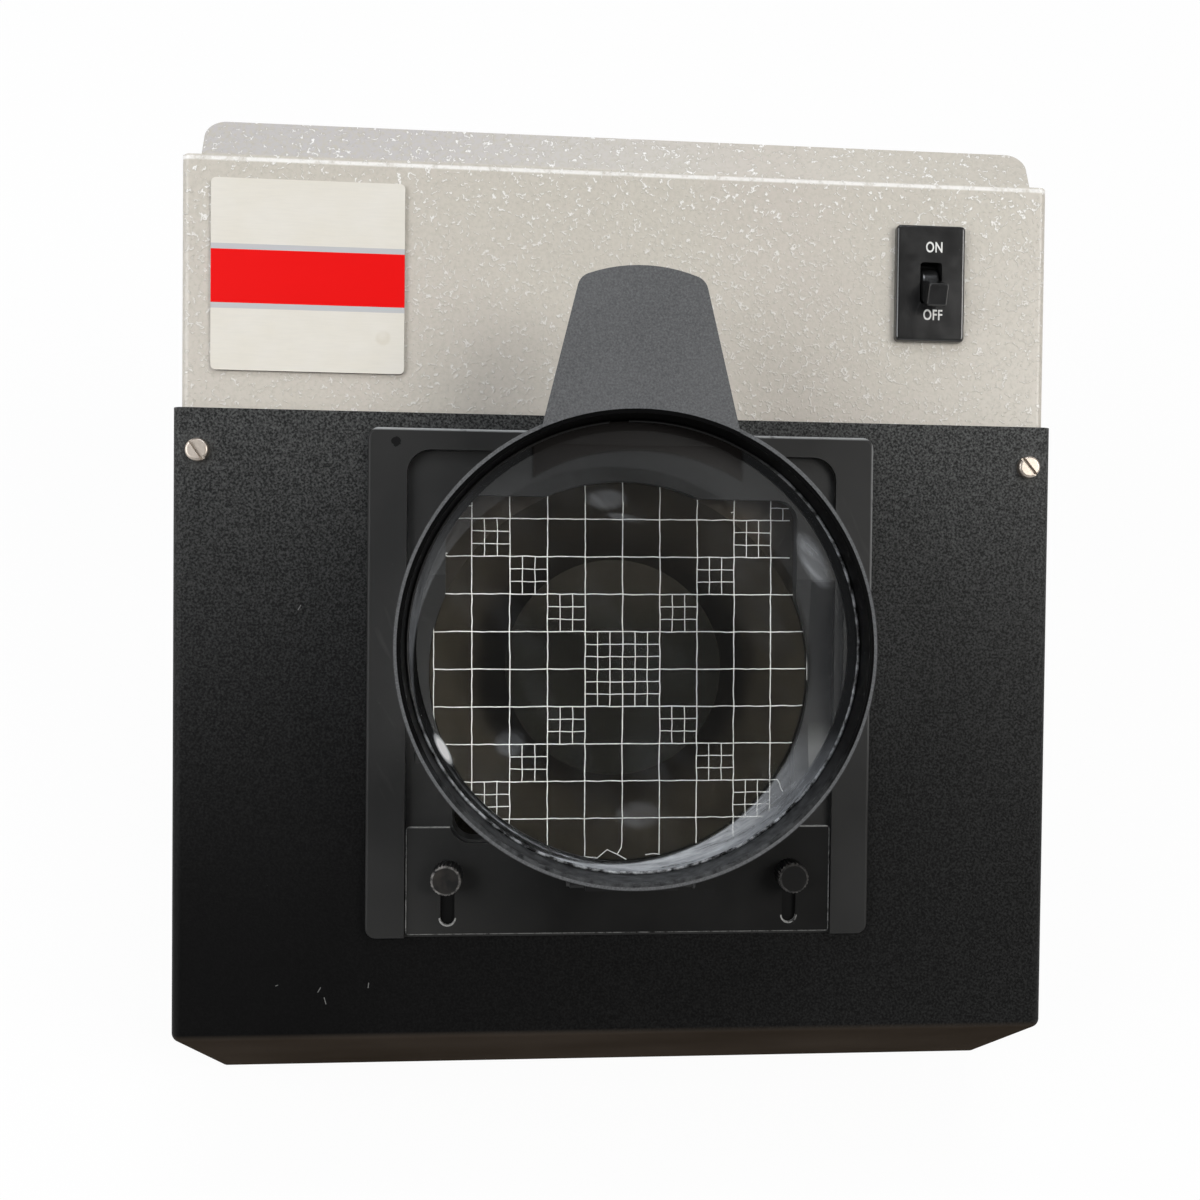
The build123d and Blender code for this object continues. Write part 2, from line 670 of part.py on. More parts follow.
def lamp_bulb():
    """Round glass bulb with a short neck."""
    neck = rod(BULB_NECK_R, CAP_TOP, BULB_W)
    return Pos(0, WELL_V) * (Pos(0, 0, BULB_W) * Sphere(BULB_R) + neck)


def lamp_cap():
    """Screw cap of the bulb, with its threads as rings."""
    cap = rod(CAP_CORE_R, CAP_TOP - CAP_L, CAP_TOP)
    for turn in range(CAP_THREADS):
        high = CAP_TOP - CAP_PITCH * (turn + 1)
        cap += rod(CAP_R, high - CAP_THREAD_H, high)
    return Pos(0, WELL_V) * cap


def lamp_socket():
    """Ceramic socket round the cap."""
    body = rod(SOCKET_R, SEAT_W, SEAT_W + SOCKET_H)
    cup = rod(CAP_R + SOCKET_GAP, CAP_TOP - CAP_L, SEAT_W + SOCKET_H)
    body = fillet(body.faces().sort_by(Axis.Z)[-1].edges(), SOCKET_EDGE_R)
    for side in (-1, 1):
        body -= Pos(side * LAMP_SCREW_X) * rod(TAPPER[2] / 2 + SCREW_FIT, SEAT_W, SEAT_W + TAPPER[3])
    return Pos(0, WELL_V) * (body - cup)


def lamp_foot_middle():
    """Y of the screws in the lamp bracket's foot."""
    corner = row_point(0, WELL_V - SEAT_L / 2, SEAT_W - LAMP_SHEET / 2)
    return corner.Y - LAMP_FOOT_L / 2


def lamp_bracket():
    """Folded strap that carries the socket square to the panel's slope."""
    level = SEAT_W - LAMP_SHEET / 2
    high, low = row_point(0, WELL_V + SEAT_L / 2, level), row_point(0, WELL_V - SEAT_L / 2, level)
    foot = Z_CASE + LAMP_SHEET / 2
    path = Polyline((high.Y, high.Z), (low.Y, low.Z), (low.Y, foot), (low.Y - LAMP_FOOT_L, foot))
    strap = extrude(Plane.YZ * trace(path, LAMP_SHEET), SEAT_WIDTH / 2, both=True)
    for side in (-1, 1):
        hole = clear_hole(SMALL_HEAD, 0, LAMP_SHEET)
        strap -= Pos(side * LAMP_SCREW_X, lamp_foot_middle(), Z_CASE) * hole
        hole = clear_hole(TAPPER, SEAT_W - LAMP_SHEET, SEAT_W)
        strap -= on_panel(Pos(side * LAMP_SCREW_X, WELL_V) * hole)
    return strap


# Magnifier


def bracket_slot():
    """Slot that a thumbscrew holds the bracket by."""
    low, high = SLOT_LOW + SLOT_W / 2, THUMB_V + SLOT_PLAY
    return Pos(0, (low + high) / 2) * Rot(0, 0, 90) * SlotCenterToCenter(high - low, SLOT_W)


def magnifier_bracket():
    """Sheet plate with two slots, cut round the well, and an upright with two hinge knuckles."""
    plate = Pos(0, (BRACKET_LOW + BRACKET_TOP) / 2) * RectangleRounded(
        BRACKET_W, BRACKET_TOP - BRACKET_LOW, BRACKET_R
    )
    plate -= well_outline(BRACKET_WELL_GAP)
    face = ARM_V + BRACKET_T / 2
    plate -= Pos(ARM_U, face + BRACKET_TOP / 2) * Rectangle(ARM_W + 2 * ARM_RELIEF, BRACKET_TOP)
    for side in (-1, 1):
        plate -= Pos(side * THUMB_U) * bracket_slot()
    bracket = slab(plate, W_POCKET, W_BRACKET)
    half = ARM_W / 2
    arm = box((-half, half), (face - BRACKET_T, face), (W_POCKET, HINGE_W))
    middle = HINGE_CENTRE_W / 2 + HINGE_GAP
    top = HINGE_W - LUG_R - HINGE_CLEAR
    arm -= box((-middle, middle), (face - 2 * BRACKET_T, face + BRACKET_T), (top, HINGE_W + BRACKET_T))
    for side in (-1, 1):
        low, high = sorted((side * middle, side * half))
        arm += u_rod(KNUCKLE_R, ARM_V, HINGE_W, low, high)
    arm -= u_rod(PIN_D / 2 + PIN_FIT, ARM_V, HINGE_W, -half, half)
    return bracket + Pos(ARM_U) * arm


def lens_hinge_pin():
    """Headed pin through the knuckles."""
    half = ARM_W / 2
    pin = u_rod(PIN_D / 2, ARM_V, HINGE_W, -half, half + CLIP_T + PIN_HEAD_T)
    return pin + u_rod(PIN_HEAD_D / 2, ARM_V, HINGE_W, -half - PIN_HEAD_T, -half)


def hinge_clip():
    """Ring clip on the pin's free end."""
    half = ARM_W / 2
    clip = u_rod(CLIP_D / 2, ARM_V, HINGE_W, half, half + CLIP_T)
    return clip - u_rod(PIN_D / 2 + PIN_FIT, ARM_V, HINGE_W, half, half + CLIP_T)


def tab_outline():
    """Tapered lifting tab with an arched top, out from the ring's bore."""
    low = RING_V + sqrt(RING_R**2 - TAB_LOW_HALF**2)
    slant = (TAB_TOP - low) / (TAB_LOW_HALF - TAB_TOP_HALF)
    foot = TAB_LOW_HALF + (low - RING_V) / slant
    shoulder = TAB_TOP - TAB_ARCH
    edge = TAB_LOW_HALF - (shoulder - low) / slant
    sides = Polyline((-edge, shoulder), (-foot, RING_V), (foot, RING_V), (edge, shoulder))
    crown = ThreePointArc((edge, shoulder), (0, TAB_TOP), (-edge, shoulder))
    tab = make_face(Curve() + sides + crown)
    tab = fillet(tab.vertices().group_by(Axis.Y)[-1], TAB_R)
    return tab - Pos(0, RING_V) * Circle(BORE_R)


def lens_frame():
    """Ring with a lens seat, the lifting tab at the top and a hinge lug with its stop heel below."""
    centre = Pos(0, RING_V)
    ring = slab(centre * (Circle(RING_R) - Circle(BORE_R)), RING_BASE, W_RIM)
    inner = ring.faces().sort_by(Axis.Z)[-1].inner_wires()[0].edges()
    ring = chamfer(inner, RING_CHAMFER)
    ring += slab(centre * (Circle(RING_R) - Circle(BORE_R - LIP_REACH)), RING_BASE, W_SEAT)
    tab = slab(tab_outline(), W_RIM + TAB_PROUD - TAB_T, W_RIM + TAB_PROUD)
    half = HINGE_CENTRE_W / 2
    lug = u_rod(LUG_R, ARM_V, HINGE_W, -half, half)
    lug += box((-half, half), (ARM_V - LUG_R, ARM_V + LUG_REACH), (HINGE_W, RING_BASE))
    face = ARM_V + BRACKET_T / 2
    lug += box((-half, half), (face, face + HEEL_T), (HINGE_W - HEEL_DROP, HINGE_W))
    frame = ring + tab + lug
    return frame - u_rod(PIN_D / 2 + PIN_FIT, ARM_V, HINGE_W, -half, half)


def lens():
    """Biconvex glass, its lower face on the inner edge of the frame's seat."""
    radius = LENS_D / 2
    drop = sag(radius)
    low, high = W_LENS, W_LENS + LENS_EDGE
    lower = ThreePointArc((-radius, low), (0, low - drop), (radius, low))
    upper = ThreePointArc((radius, high), (0, high + drop), (-radius, high))
    edges = Line((radius, low), (radius, high)) + Line((-radius, high), (-radius, low))
    section = make_face(Curve() + lower + upper + edges)
    half = section & (Pos(radius) * Rectangle(2 * radius, 4 * (high + drop)))
    return Pos(0, RING_V) * revolve(Plane.XZ * half, Axis.Z)


def lens_retaining_ring():
    """Ring in the bore over the lens's edge, its inner edge on the upper face."""
    outer = BORE_R - RETAIN_GAP
    inner = outer - RETAIN_REACH
    low = W_LENS + LENS_EDGE + edge_rise(inner)
    return Pos(0, RING_V) * slab(Circle(outer) - Circle(inner), low, low + RETAIN_H)


def thumbscrew(side):
    """Knurled knob on a threaded shank."""
    knob = rod(KNOB_D / 2, W_BRACKET, W_BRACKET + KNOB_H)
    knob = chamfer(knob.faces().sort_by(Axis.Z)[-1].edges(), KNOB_CHAMFER)
    groove = Pos(KNOB_D / 2) * slab(RegularPolygon(KNURL_R, 4), W_BRACKET, W_BRACKET + KNOB_H)
    knob -= [Rot(0, 0, 360 * turn / KNURLS) * groove for turn in range(KNURLS)]
    shank = rod(THUMB_D / 2, W_GLASS + 2 * BOSS_CLEAR, W_BRACKET)
    return Pos(side * THUMB_U, THUMB_V) * (knob + shank)


# Nameplate and switch


def nameplate():
    """Bare plate on the case's panel."""
    return slab(Pos(PLATE_U, PLATE_V) * RectangleRounded(PLATE_W, PLATE_W, PLATE_R), 0, PLATE_T)


def lever_slot():
    """Slot that the lever swings in."""
    return RectangleRounded(SWITCH_SLOT_W, SWITCH_SLOT_L, SWITCH_SLOT_R)


def switch_plate():
    """Moulded plate of the switch, slotted for the lever."""
    plate = slab(RectangleRounded(SWITCH_W, SWITCH_L, SWITCH_R), 0, SWITCH_T)
    plate = fillet(plate.faces().sort_by(Axis.Z)[-1].edges(), SWITCH_EDGE_R)
    plate -= slab(lever_slot(), 0, SWITCH_T)
    return Pos(SWITCH_U, SWITCH_V) * plate


def switch_body():
    """Body behind the panel with a well for the lever and two solder lugs."""
    body = slab(Rectangle(SWITCH_BODY_W, SWITCH_BODY_L), -SWITCH_BODY_D, 0)
    half = SWITCH_SLOT_W / 2
    body -= slab(lever_slot(), LEVER_PIVOT_W, 0)
    body -= u_rod(LEVER_HUB_R + LEVER_GAP, 0, LEVER_PIVOT_W, -half, half)
    half += LEVER_PIN_REACH + LEVER_GAP
    body -= u_rod(LEVER_PIN_R + LEVER_GAP / 2, 0, LEVER_PIVOT_W, -half, half)
    blade = slab(Rectangle(TERMINAL_W, TERMINAL_T), -TERMINAL_L, 0)
    for side in (-1, 1):
        body += Pos(side * TERMINAL_PITCH / 2, -TERMINAL_DROP, -SWITCH_BODY_D) * blade
    return Pos(SWITCH_U, SWITCH_V) * body


def switch_lever():
    """Square paddle on a round hub with pivots, at rest leaning down the slope."""
    root, end, half = LEVER_ROOT / 2, LEVER_END / 2, LEVER_W / 2
    side = Polyline((-root, 0), (-end, LEVER_REACH), (end, LEVER_REACH), (root, 0), close=True)
    paddle = extrude(Plane.YZ * make_face(side), half, both=True)
    paddle = fillet(paddle.edges().filter_by(lambda e: e.center().Z > 1), LEVER_EDGE_R)
    hub = u_rod(LEVER_HUB_R, 0, 0, -half, half)
    hub = fillet(hub.edges().filter_by(GeomType.CIRCLE), LEVER_HUB_EDGE_R)
    reach = SWITCH_SLOT_W / 2 + LEVER_PIN_REACH
    lever = paddle + hub + u_rod(LEVER_PIN_R, 0, 0, -reach, reach)
    return Pos(SWITCH_U, SWITCH_V, LEVER_PIVOT_W) * Rot(LEVER_TILT, 0, 0) * lever


# Wiring and fastenings


def terminal_block():
    """Moulded block with raised barriers between its poles."""
    block = slab(Rectangle(BLOCK_W, BLOCK_D), 0, BLOCK_H)
    for place in range(BLOCK_POLES + 1):
        x = (place / BLOCK_POLES - 0.5) * (BLOCK_W - BARRIER_T)
        block += Pos(x) * slab(Rectangle(BARRIER_T, BLOCK_D), 0, BLOCK_H + BARRIER_H)
    return Pos(BLOCK_X, Y_BACK - BLOCK_BACK, Z_CASE) * block


def terminal_screw():
    """Head of a pole's screw, on the block."""
    return screw(SMALL_HEAD) & rod(SMALL_HEAD[0], 0, SMALL_HEAD[1])


def pole_x(pole):
    """X of a pole of the terminal block, counted from its middle."""
    return BLOCK_X + pole * BLOCK_W / BLOCK_POLES


def cord_bushing():
    """Insulating bushing in the back panel, where a cord would leave."""
    outline = [
        (BUSHING_BORE / 2, -BUSHING_NOSE),
        (BUSHING_D / 2, -BUSHING_NOSE),
        (BUSHING_D / 2, BACK_SHEET),
        (BUSHING_FLANGE_D / 2, BACK_SHEET),
        (BUSHING_FLANGE_D / 2, BACK_SHEET + BUSHING_FLANGE_T),
        (BUSHING_D / 2, BACK_SHEET + BUSHING_FLANGE_T),
        (BUSHING_BORE / 2 + BUSHING_TIP, BACK_SHEET + BUSHING_FLANGE_T + BUSHING_NOSE),
        (BUSHING_BORE / 2, BACK_SHEET + BUSHING_FLANGE_T + BUSHING_NOSE),
    ]
    ring = revolve(Plane.XZ * make_face(Polyline(*outline, close=True)), Axis.Z)
    return Pos(BUSHING_X, Y_BACK, Z_CASE + BUSHING_Z) * Rot(-90, 0, 0) * ring


def lead(*points):
    """Insulated lead along straight runs joined by arcs as large as the runs allow."""
    radii = []
    for before, corner, after in zip(points, points[1:], points[2:]):
        first, second = corner - before, after - corner
        turn = radians(first.get_angle(second))
        radii.append(ARC_SHARE * min(first.length, second.length) / tan(turn / 2))
    path = FilletPolyline(*points, radius=radii)
    return sweep(Plane(path @ 0, z_dir=path % 0) * Circle(LEAD_D / 2), path=path)


def switch_lead(side):
    """From a switch terminal down to the back of the terminal block."""
    u, v = SWITCH_U + side * TERMINAL_PITCH / 2, SWITCH_V - TERMINAL_DROP
    low = -SWITCH_BODY_D - TERMINAL_L
    x, y, z = pole_x((side + 1) / 2), Y_BACK - BLOCK_BACK + LEAD_IN, Z_CASE + BLOCK_H
    start, turn = row_point(u, v, low), row_point(u, v, low - LEAD_DROP)
    return lead(start, turn, Vector(x, y, z + 2 * LEAD_DROP), Vector(x, y, z))


def lamp_lead(side):
    """From the side of the lamp socket to the front of the terminal block."""
    v, w = WELL_V + side * LEAD_SPLIT, SEAT_W + LEAD_SPLIT * 2
    x, y, z = pole_x(-(side + 1) / 2), Y_BACK - BLOCK_BACK - LEAD_IN, Z_CASE + BLOCK_H
    start, turn = row_point(SOCKET_R, v, w), row_point(SOCKET_R + LEAD_DROP, v, w)
    return lead(start, turn, Vector(x, y, z + LEAD_DROP), Vector(x, y, z))


def save_case():
    """The shell, its cover, base and back, the feet and what fastens them."""
    upright = Rot(180, 0, 0)
    save("case_body", case_body())
    save("front_cover", front_cover())
    save("base_plate", base_plate())
    save("back_panel", back_panel())
    save("base_screws", *[Pos(x, y, FOOT_H) * upright * screw(SMALL_HEAD) for x, y in base_screw_places()])
    feet = [Pos(x, y) for x, y in foot_places()]
    save("rubber_feet", *[foot * rubber_foot() for foot in feet])
    save("foot_screws", *[foot * Pos(0, 0, FOOT_H / 2) * upright * screw(FOOT_SCREW) for foot in feet])
    save("foot_nuts", *[foot * Pos(0, 0, Z_CASE + NUT_T) * nut(FOOT_SCREW[2]) for foot in feet])
    seats = [Pos(x, Y_BACK + BACK_SHEET, z) * Rot(-90, 0, 0) for x, z in back_screw_places()]
    save("back_screws", *[seat * screw(SMALL_HEAD) for seat in seats])
    places = [Pos(side * COVER_SCREW_U, COVER_SCREW_V) for side in (-1, 1)]
    screws = [Pos(0, 0, W_COVER) * screw(PAN_HEAD, angle) for angle in COVER_SLOT_ANGLES]
    save("cover_screws", *[on_panel(place * one) for place, one in zip(places, screws)])
    save("cover_nuts", *[on_panel(place * Pos(0, 0, -SHEET) * nut(PAN_HEAD[2])) for place in places])


def save_stage():
    """The stage, the ruled plate and what holds them."""
    save("stage_frame", on_panel(stage_frame()))
    save("stage_push_nuts", *[on_panel(Pos(u, v) * push_nut()) for u, v in stage_corner_places()])
    places = [Pos(side * THUMB_U, THUMB_V) for side in (-1, 1)]
    save("thread_inserts", *[on_panel(place * thread_insert()) for place in places])
    save("guide_plate", on_panel(guide_plate()))
    save("guide_plate_retainer", on_panel(guide_plate_retainer()))
    one = Pos(0, 0, W_RETAINER - REFLECTOR_T) * Rot(180, 0, 0) * screw(TAPPER)
    corners = four(CORNER_BOSS, CORNER_BOSS)
    save("retainer_screws", *[on_panel(Pos(u, WELL_V + v) * one) for u, v in corners])


def save_lamp():
    """Reflector, lamp and the strap that carries them."""
    save("reflector", on_panel(reflector()))
    save("dark_field_stop", on_panel(dark_field_stop()))
    save("lamp_bulb", on_panel(lamp_bulb()))
    save("lamp_cap", on_panel(lamp_cap()))
    save("lamp_socket", on_panel(lamp_socket()))
    save("lamp_bracket", lamp_bracket())
    one = Pos(0, WELL_V, SEAT_W - LAMP_SHEET) * Rot(180, 0, 0) * screw(TAPPER)
    save("socket_screws", *[on_panel(Pos(side * LAMP_SCREW_X) * one) for side in (-1, 1)])
    feet = [Pos(side * LAMP_SCREW_X, lamp_foot_middle()) for side in (-1, 1)]
    one = Pos(0, 0, FOOT_H) * Rot(180, 0, 0) * screw(SMALL_HEAD)
    save("lamp_bracket_screws", *[foot * one for foot in feet])
    one = Pos(0, 0, Z_CASE + LAMP_SHEET + NUT_T) * nut(SMALL_HEAD[2])
    save("lamp_bracket_nuts", *[foot * one for foot in feet])


def save_magnifier():
    """Bracket, hinge, lens and thumbscrews."""
    save("magnifier_bracket", on_panel(magnifier_bracket()))
    for name, one in (
        ("lens_hinge_pin", lens_hinge_pin()),
        ("hinge_clip", hinge_clip()),
        ("lens_frame", lens_frame()),
        ("lens", lens()),
        ("lens_retaining_ring", lens_retaining_ring()),
    ):
        save(name, on_panel(Pos(ARM_U) * one))
    save("thumbscrew_left", on_panel(thumbscrew(-1)))
    save("thumbscrew_right", on_panel(thumbscrew(1)))


def save_controls():
    """Nameplate, switch and wiring."""
    save("nameplate", on_panel(nameplate()))
    save("switch_plate", on_panel(switch_plate()))
    save("switch_body", on_panel(switch_body()))
    save("switch_lever", on_panel(switch_lever()))
    save("terminal_block", terminal_block())
    middle = Y_BACK - BLOCK_BACK
    poles = [Pos(pole_x(i), middle, Z_CASE + BLOCK_H) for i in (-1, 0, 1)]
    save("terminal_screws", *[pole * terminal_screw() for pole in poles])
    save("switch_leads", switch_lead(-1), switch_lead(1))
    save("lamp_leads", lamp_lead(-1), lamp_lead(1))
    save("cord_bushing", cord_bushing())
    earth = Pos(EARTH_X, middle)
    save("earth_screw", earth * Pos(0, 0, FOOT_H) * Rot(180, 0, 0) * screw(SMALL_HEAD))
    save("earth_nut", earth * Pos(0, 0, Z_CASE + NUT_T) * nut(SMALL_HEAD[2]))


save_case()
save_stage()
save_lamp()
save_magnifier()
save_controls()
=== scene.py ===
"""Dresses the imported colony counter: finishes, ground lens, retaining wire, ruling, lettering and stage.

Lengths on the object are in millimetres in the sloping panel's own frame: u to the right, v up the slope
from the front bend, w out of the panel.
"""

import json
import math

import bpy
from bpy.props import FloatProperty, FloatVectorProperty, IntProperty, PointerProperty
from mathutils import Matrix, Vector, noise


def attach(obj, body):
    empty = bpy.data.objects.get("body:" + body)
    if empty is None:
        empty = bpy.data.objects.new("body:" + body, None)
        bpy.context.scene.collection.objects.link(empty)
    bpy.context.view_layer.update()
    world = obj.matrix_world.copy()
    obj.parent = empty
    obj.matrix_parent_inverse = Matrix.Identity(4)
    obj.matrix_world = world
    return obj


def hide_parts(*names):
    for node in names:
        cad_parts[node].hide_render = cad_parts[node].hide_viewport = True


bl_info = {
    "name": "Colony Counter",
    "version": (1, 0, 0),
    "blender": (4, 5, 0),
    "location": "View3D > Sidebar > Counter",
    "description": "Finishes and fine parts of a sloping dark-field colony counter",
    "category": "Object",
}

MM = 0.001
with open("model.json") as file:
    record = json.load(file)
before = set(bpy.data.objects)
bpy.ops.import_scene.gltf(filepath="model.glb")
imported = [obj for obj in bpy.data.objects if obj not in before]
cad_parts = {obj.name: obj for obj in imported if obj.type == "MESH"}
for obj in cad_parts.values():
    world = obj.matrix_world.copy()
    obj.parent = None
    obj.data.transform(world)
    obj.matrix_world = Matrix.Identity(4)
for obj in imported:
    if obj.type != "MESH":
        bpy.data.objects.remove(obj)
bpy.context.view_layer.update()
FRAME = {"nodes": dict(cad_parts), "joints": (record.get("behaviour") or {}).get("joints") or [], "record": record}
NODES = FRAME["nodes"]
JOINTS = {joint["name"]: joint for joint in FRAME["joints"]}

# The panel's frame, from the slide along it and the place of the right thumbscrew.
THUMB_U, THUMB_V = 47.5, 44.2
ACROSS = Vector((1, 0, 0))
UPHILL = Vector(JOINTS["bracket_slide"]["axis"]).normalized()
OUTWARD = ACROSS.cross(UPHILL)
SLOPE = math.atan2(UPHILL.z, UPHILL.y)
PANEL_ORIGIN = Vector(JOINTS["thumbscrew_right_turn"]["pos_m"]) - (ACROSS * THUMB_U + UPHILL * THUMB_V) * MM
PANEL = Matrix.Translation(PANEL_ORIGIN) @ Matrix((ACROSS, UPHILL, OUTWARD)).transposed().to_4x4()

# Levels and centres on the panel.
TOP_BEND_V = 238.6
COVER_SCREW_U, COVER_SCREW_V = 115.5, 159.6
STAGE_V, STAGE_HALF = 96.7, 69.5
WELL_V = 100.3
GLASS_W = -5.4
SCOOP_U, SCOOP_HALF = (50.5, 62.2), 26.2
BRACKET_HALF, BRACKET_TOP, BRACKET_LOW = 58.75, 57.4, 28.05
BRACKET_W = (2.5, 4.1)
SLOT_V, SLOT_END_V, SLOT_R = (28.5, 47.0), 32.4, 2.15
KNOB_R, KNOB_W, KNOB_RIM_W = 4.0, 8.5, 10.4
RING_U, RING_V = JOINTS["lens_tilt"]["pos_m"][0] / MM, 108.3
FACE_R = 58.6
LENS_SEAT, LENS_EDGE = 31.2632, 3.0
WIRE_GAP = 0.05
TAB_HALF = 26.8
PLATE_LOW, PLATE_W = 181.45, 0.75
BAND_V, BAND_HALF, BAND_EDGE = 206.79, 7.22, 1.5
SWITCH_TOP = 2.4

# Marks on the panel, as u and v.
CHIP = (-62.1, 162.6)
STAIN = (-66.4, 191.2)
CLEAN_LENS = (-4.0, 103.5)
# Lint on the cover: u, v, length and turn.
LINT = (
    (-82.3, 12.4, 1.6, 60),
    (-80.7, 9.4, 2.0, -75),
    (-69.0, 13.5, 1.5, 85),
    (-93.7, 13.8, 0.8, 20),
    (-88.2, 117.3, 1.6, 60),
)
# Hazy patches of the lens, painted reflections on its dust: u, v, length, width, turn and share.
HAZE = (
    (-6.5, 145.5, 12.0, 6.0, 0, 0.12),
    (-2.0, 141.0, 10.0, 2.2, -10, 0.12),
    (46.5, 131.0, 18.0, 7.0, -62, 0.40),
    (2.5, 66.0, 13.0, 8.0, 0, 0.16),
    (-30.0, 84.0, 9.0, 8.0, 20, 0.13),
    (27.0, 62.5, 9.0, 2.5, 35, 0.6),
)
# A painted highlight where the lens's edge flashes: u, v, length, width and turn.
FLASH = (-46.6, 82.5, 10.0, 2.6, -61)
# The film of dust on glass.
FILM_GREY = (0.60, 0.63, 0.67)

# The camera, in metres, degrees and millimetres.
CAMERA_PLACE = (-0.02147, -0.16043, 0.43914)
CAMERA_TURN = (24.870, -4.704, -1.569)
CAMERA_LENS = 38.02
CAMERA_SENSOR = 36.0
CAMERA_SHIFT = (-0.0453, 0.0241)


def place(u, v, w):
    """A point of the panel's frame, in millimetres, as a point of the object's frame, in metres."""
    return PANEL @ (Vector((u, v, w)) * MM)


# Finishes


class Link:
    """A node's output. Arithmetic on it adds Math nodes."""

    def __init__(self, finish, socket):
        self.finish = finish
        self.socket = socket

    def math(self, operation, *values):
        return self.finish.node("ShaderNodeMath", {"operation": operation}, values)

    def __add__(self, other):
        return self.math("ADD", self, other)

    def __sub__(self, other):
        return self.math("SUBTRACT", self, other)

    def __rsub__(self, other):
        return self.math("SUBTRACT", other, self)

    def __mul__(self, other):
        return self.math("MULTIPLY", self, other)

    def __truediv__(self, other):
        return self.math("DIVIDE", self, other)

    def __rtruediv__(self, other):
        return self.math("DIVIDE", other, self)

    def __gt__(self, other):
        return self.math("GREATER_THAN", self, other)

    def __lt__(self, other):
        return self.math("LESS_THAN", self, other)

    def __abs__(self):
        return self.math("ABSOLUTE", self)

    def highest(self, other):
        return self.math("MAXIMUM", self, other)

    def root(self):
        return self.math("SQRT", self)

    def ramp(self, low, high):
        """From 0 at low to 1 at high."""
        settings = {"clamp": True}
        values = {"Value": self, "From Min": low, "From Max": high}
        return self.finish.node("ShaderNodeMapRange", settings, values)

    __radd__ = __add__
    __rmul__ = __mul__


class Nodes:
    """A node tree under construction."""

    def __init__(self, tree):
        self.tree = tree
        tree.nodes.clear()

    def node(self, kind, settings=None, values=(), output=0):
        """Adds a node, sets it, fills its sockets with values or links, and gives one output."""
        node = self.tree.nodes.new(kind)
        for name, value in (settings or {}).items():
            setattr(node, name, value)
        pairs = values.items() if isinstance(values, dict) else enumerate(values)
        for key, value in pairs:
            if isinstance(value, Link):
                self.tree.links.new(value.socket, node.inputs[key])
            else:
                node.inputs[key].default_value = value
        return Link(self, node.outputs[output])

    def seen(self):
        """1 for a ray from the camera, then the share of the background that a bounced ray shows."""
        path = self.tree.nodes.new("ShaderNodeLightPath")
        kinds = ("Is Camera Ray", "Is Glossy Ray", "Is Transmission Ray")
        direct, mirrored, passed = [Link(self, path.outputs[kind]) for kind in kinds]
        return direct, (mirrored * 0.6).highest(passed)


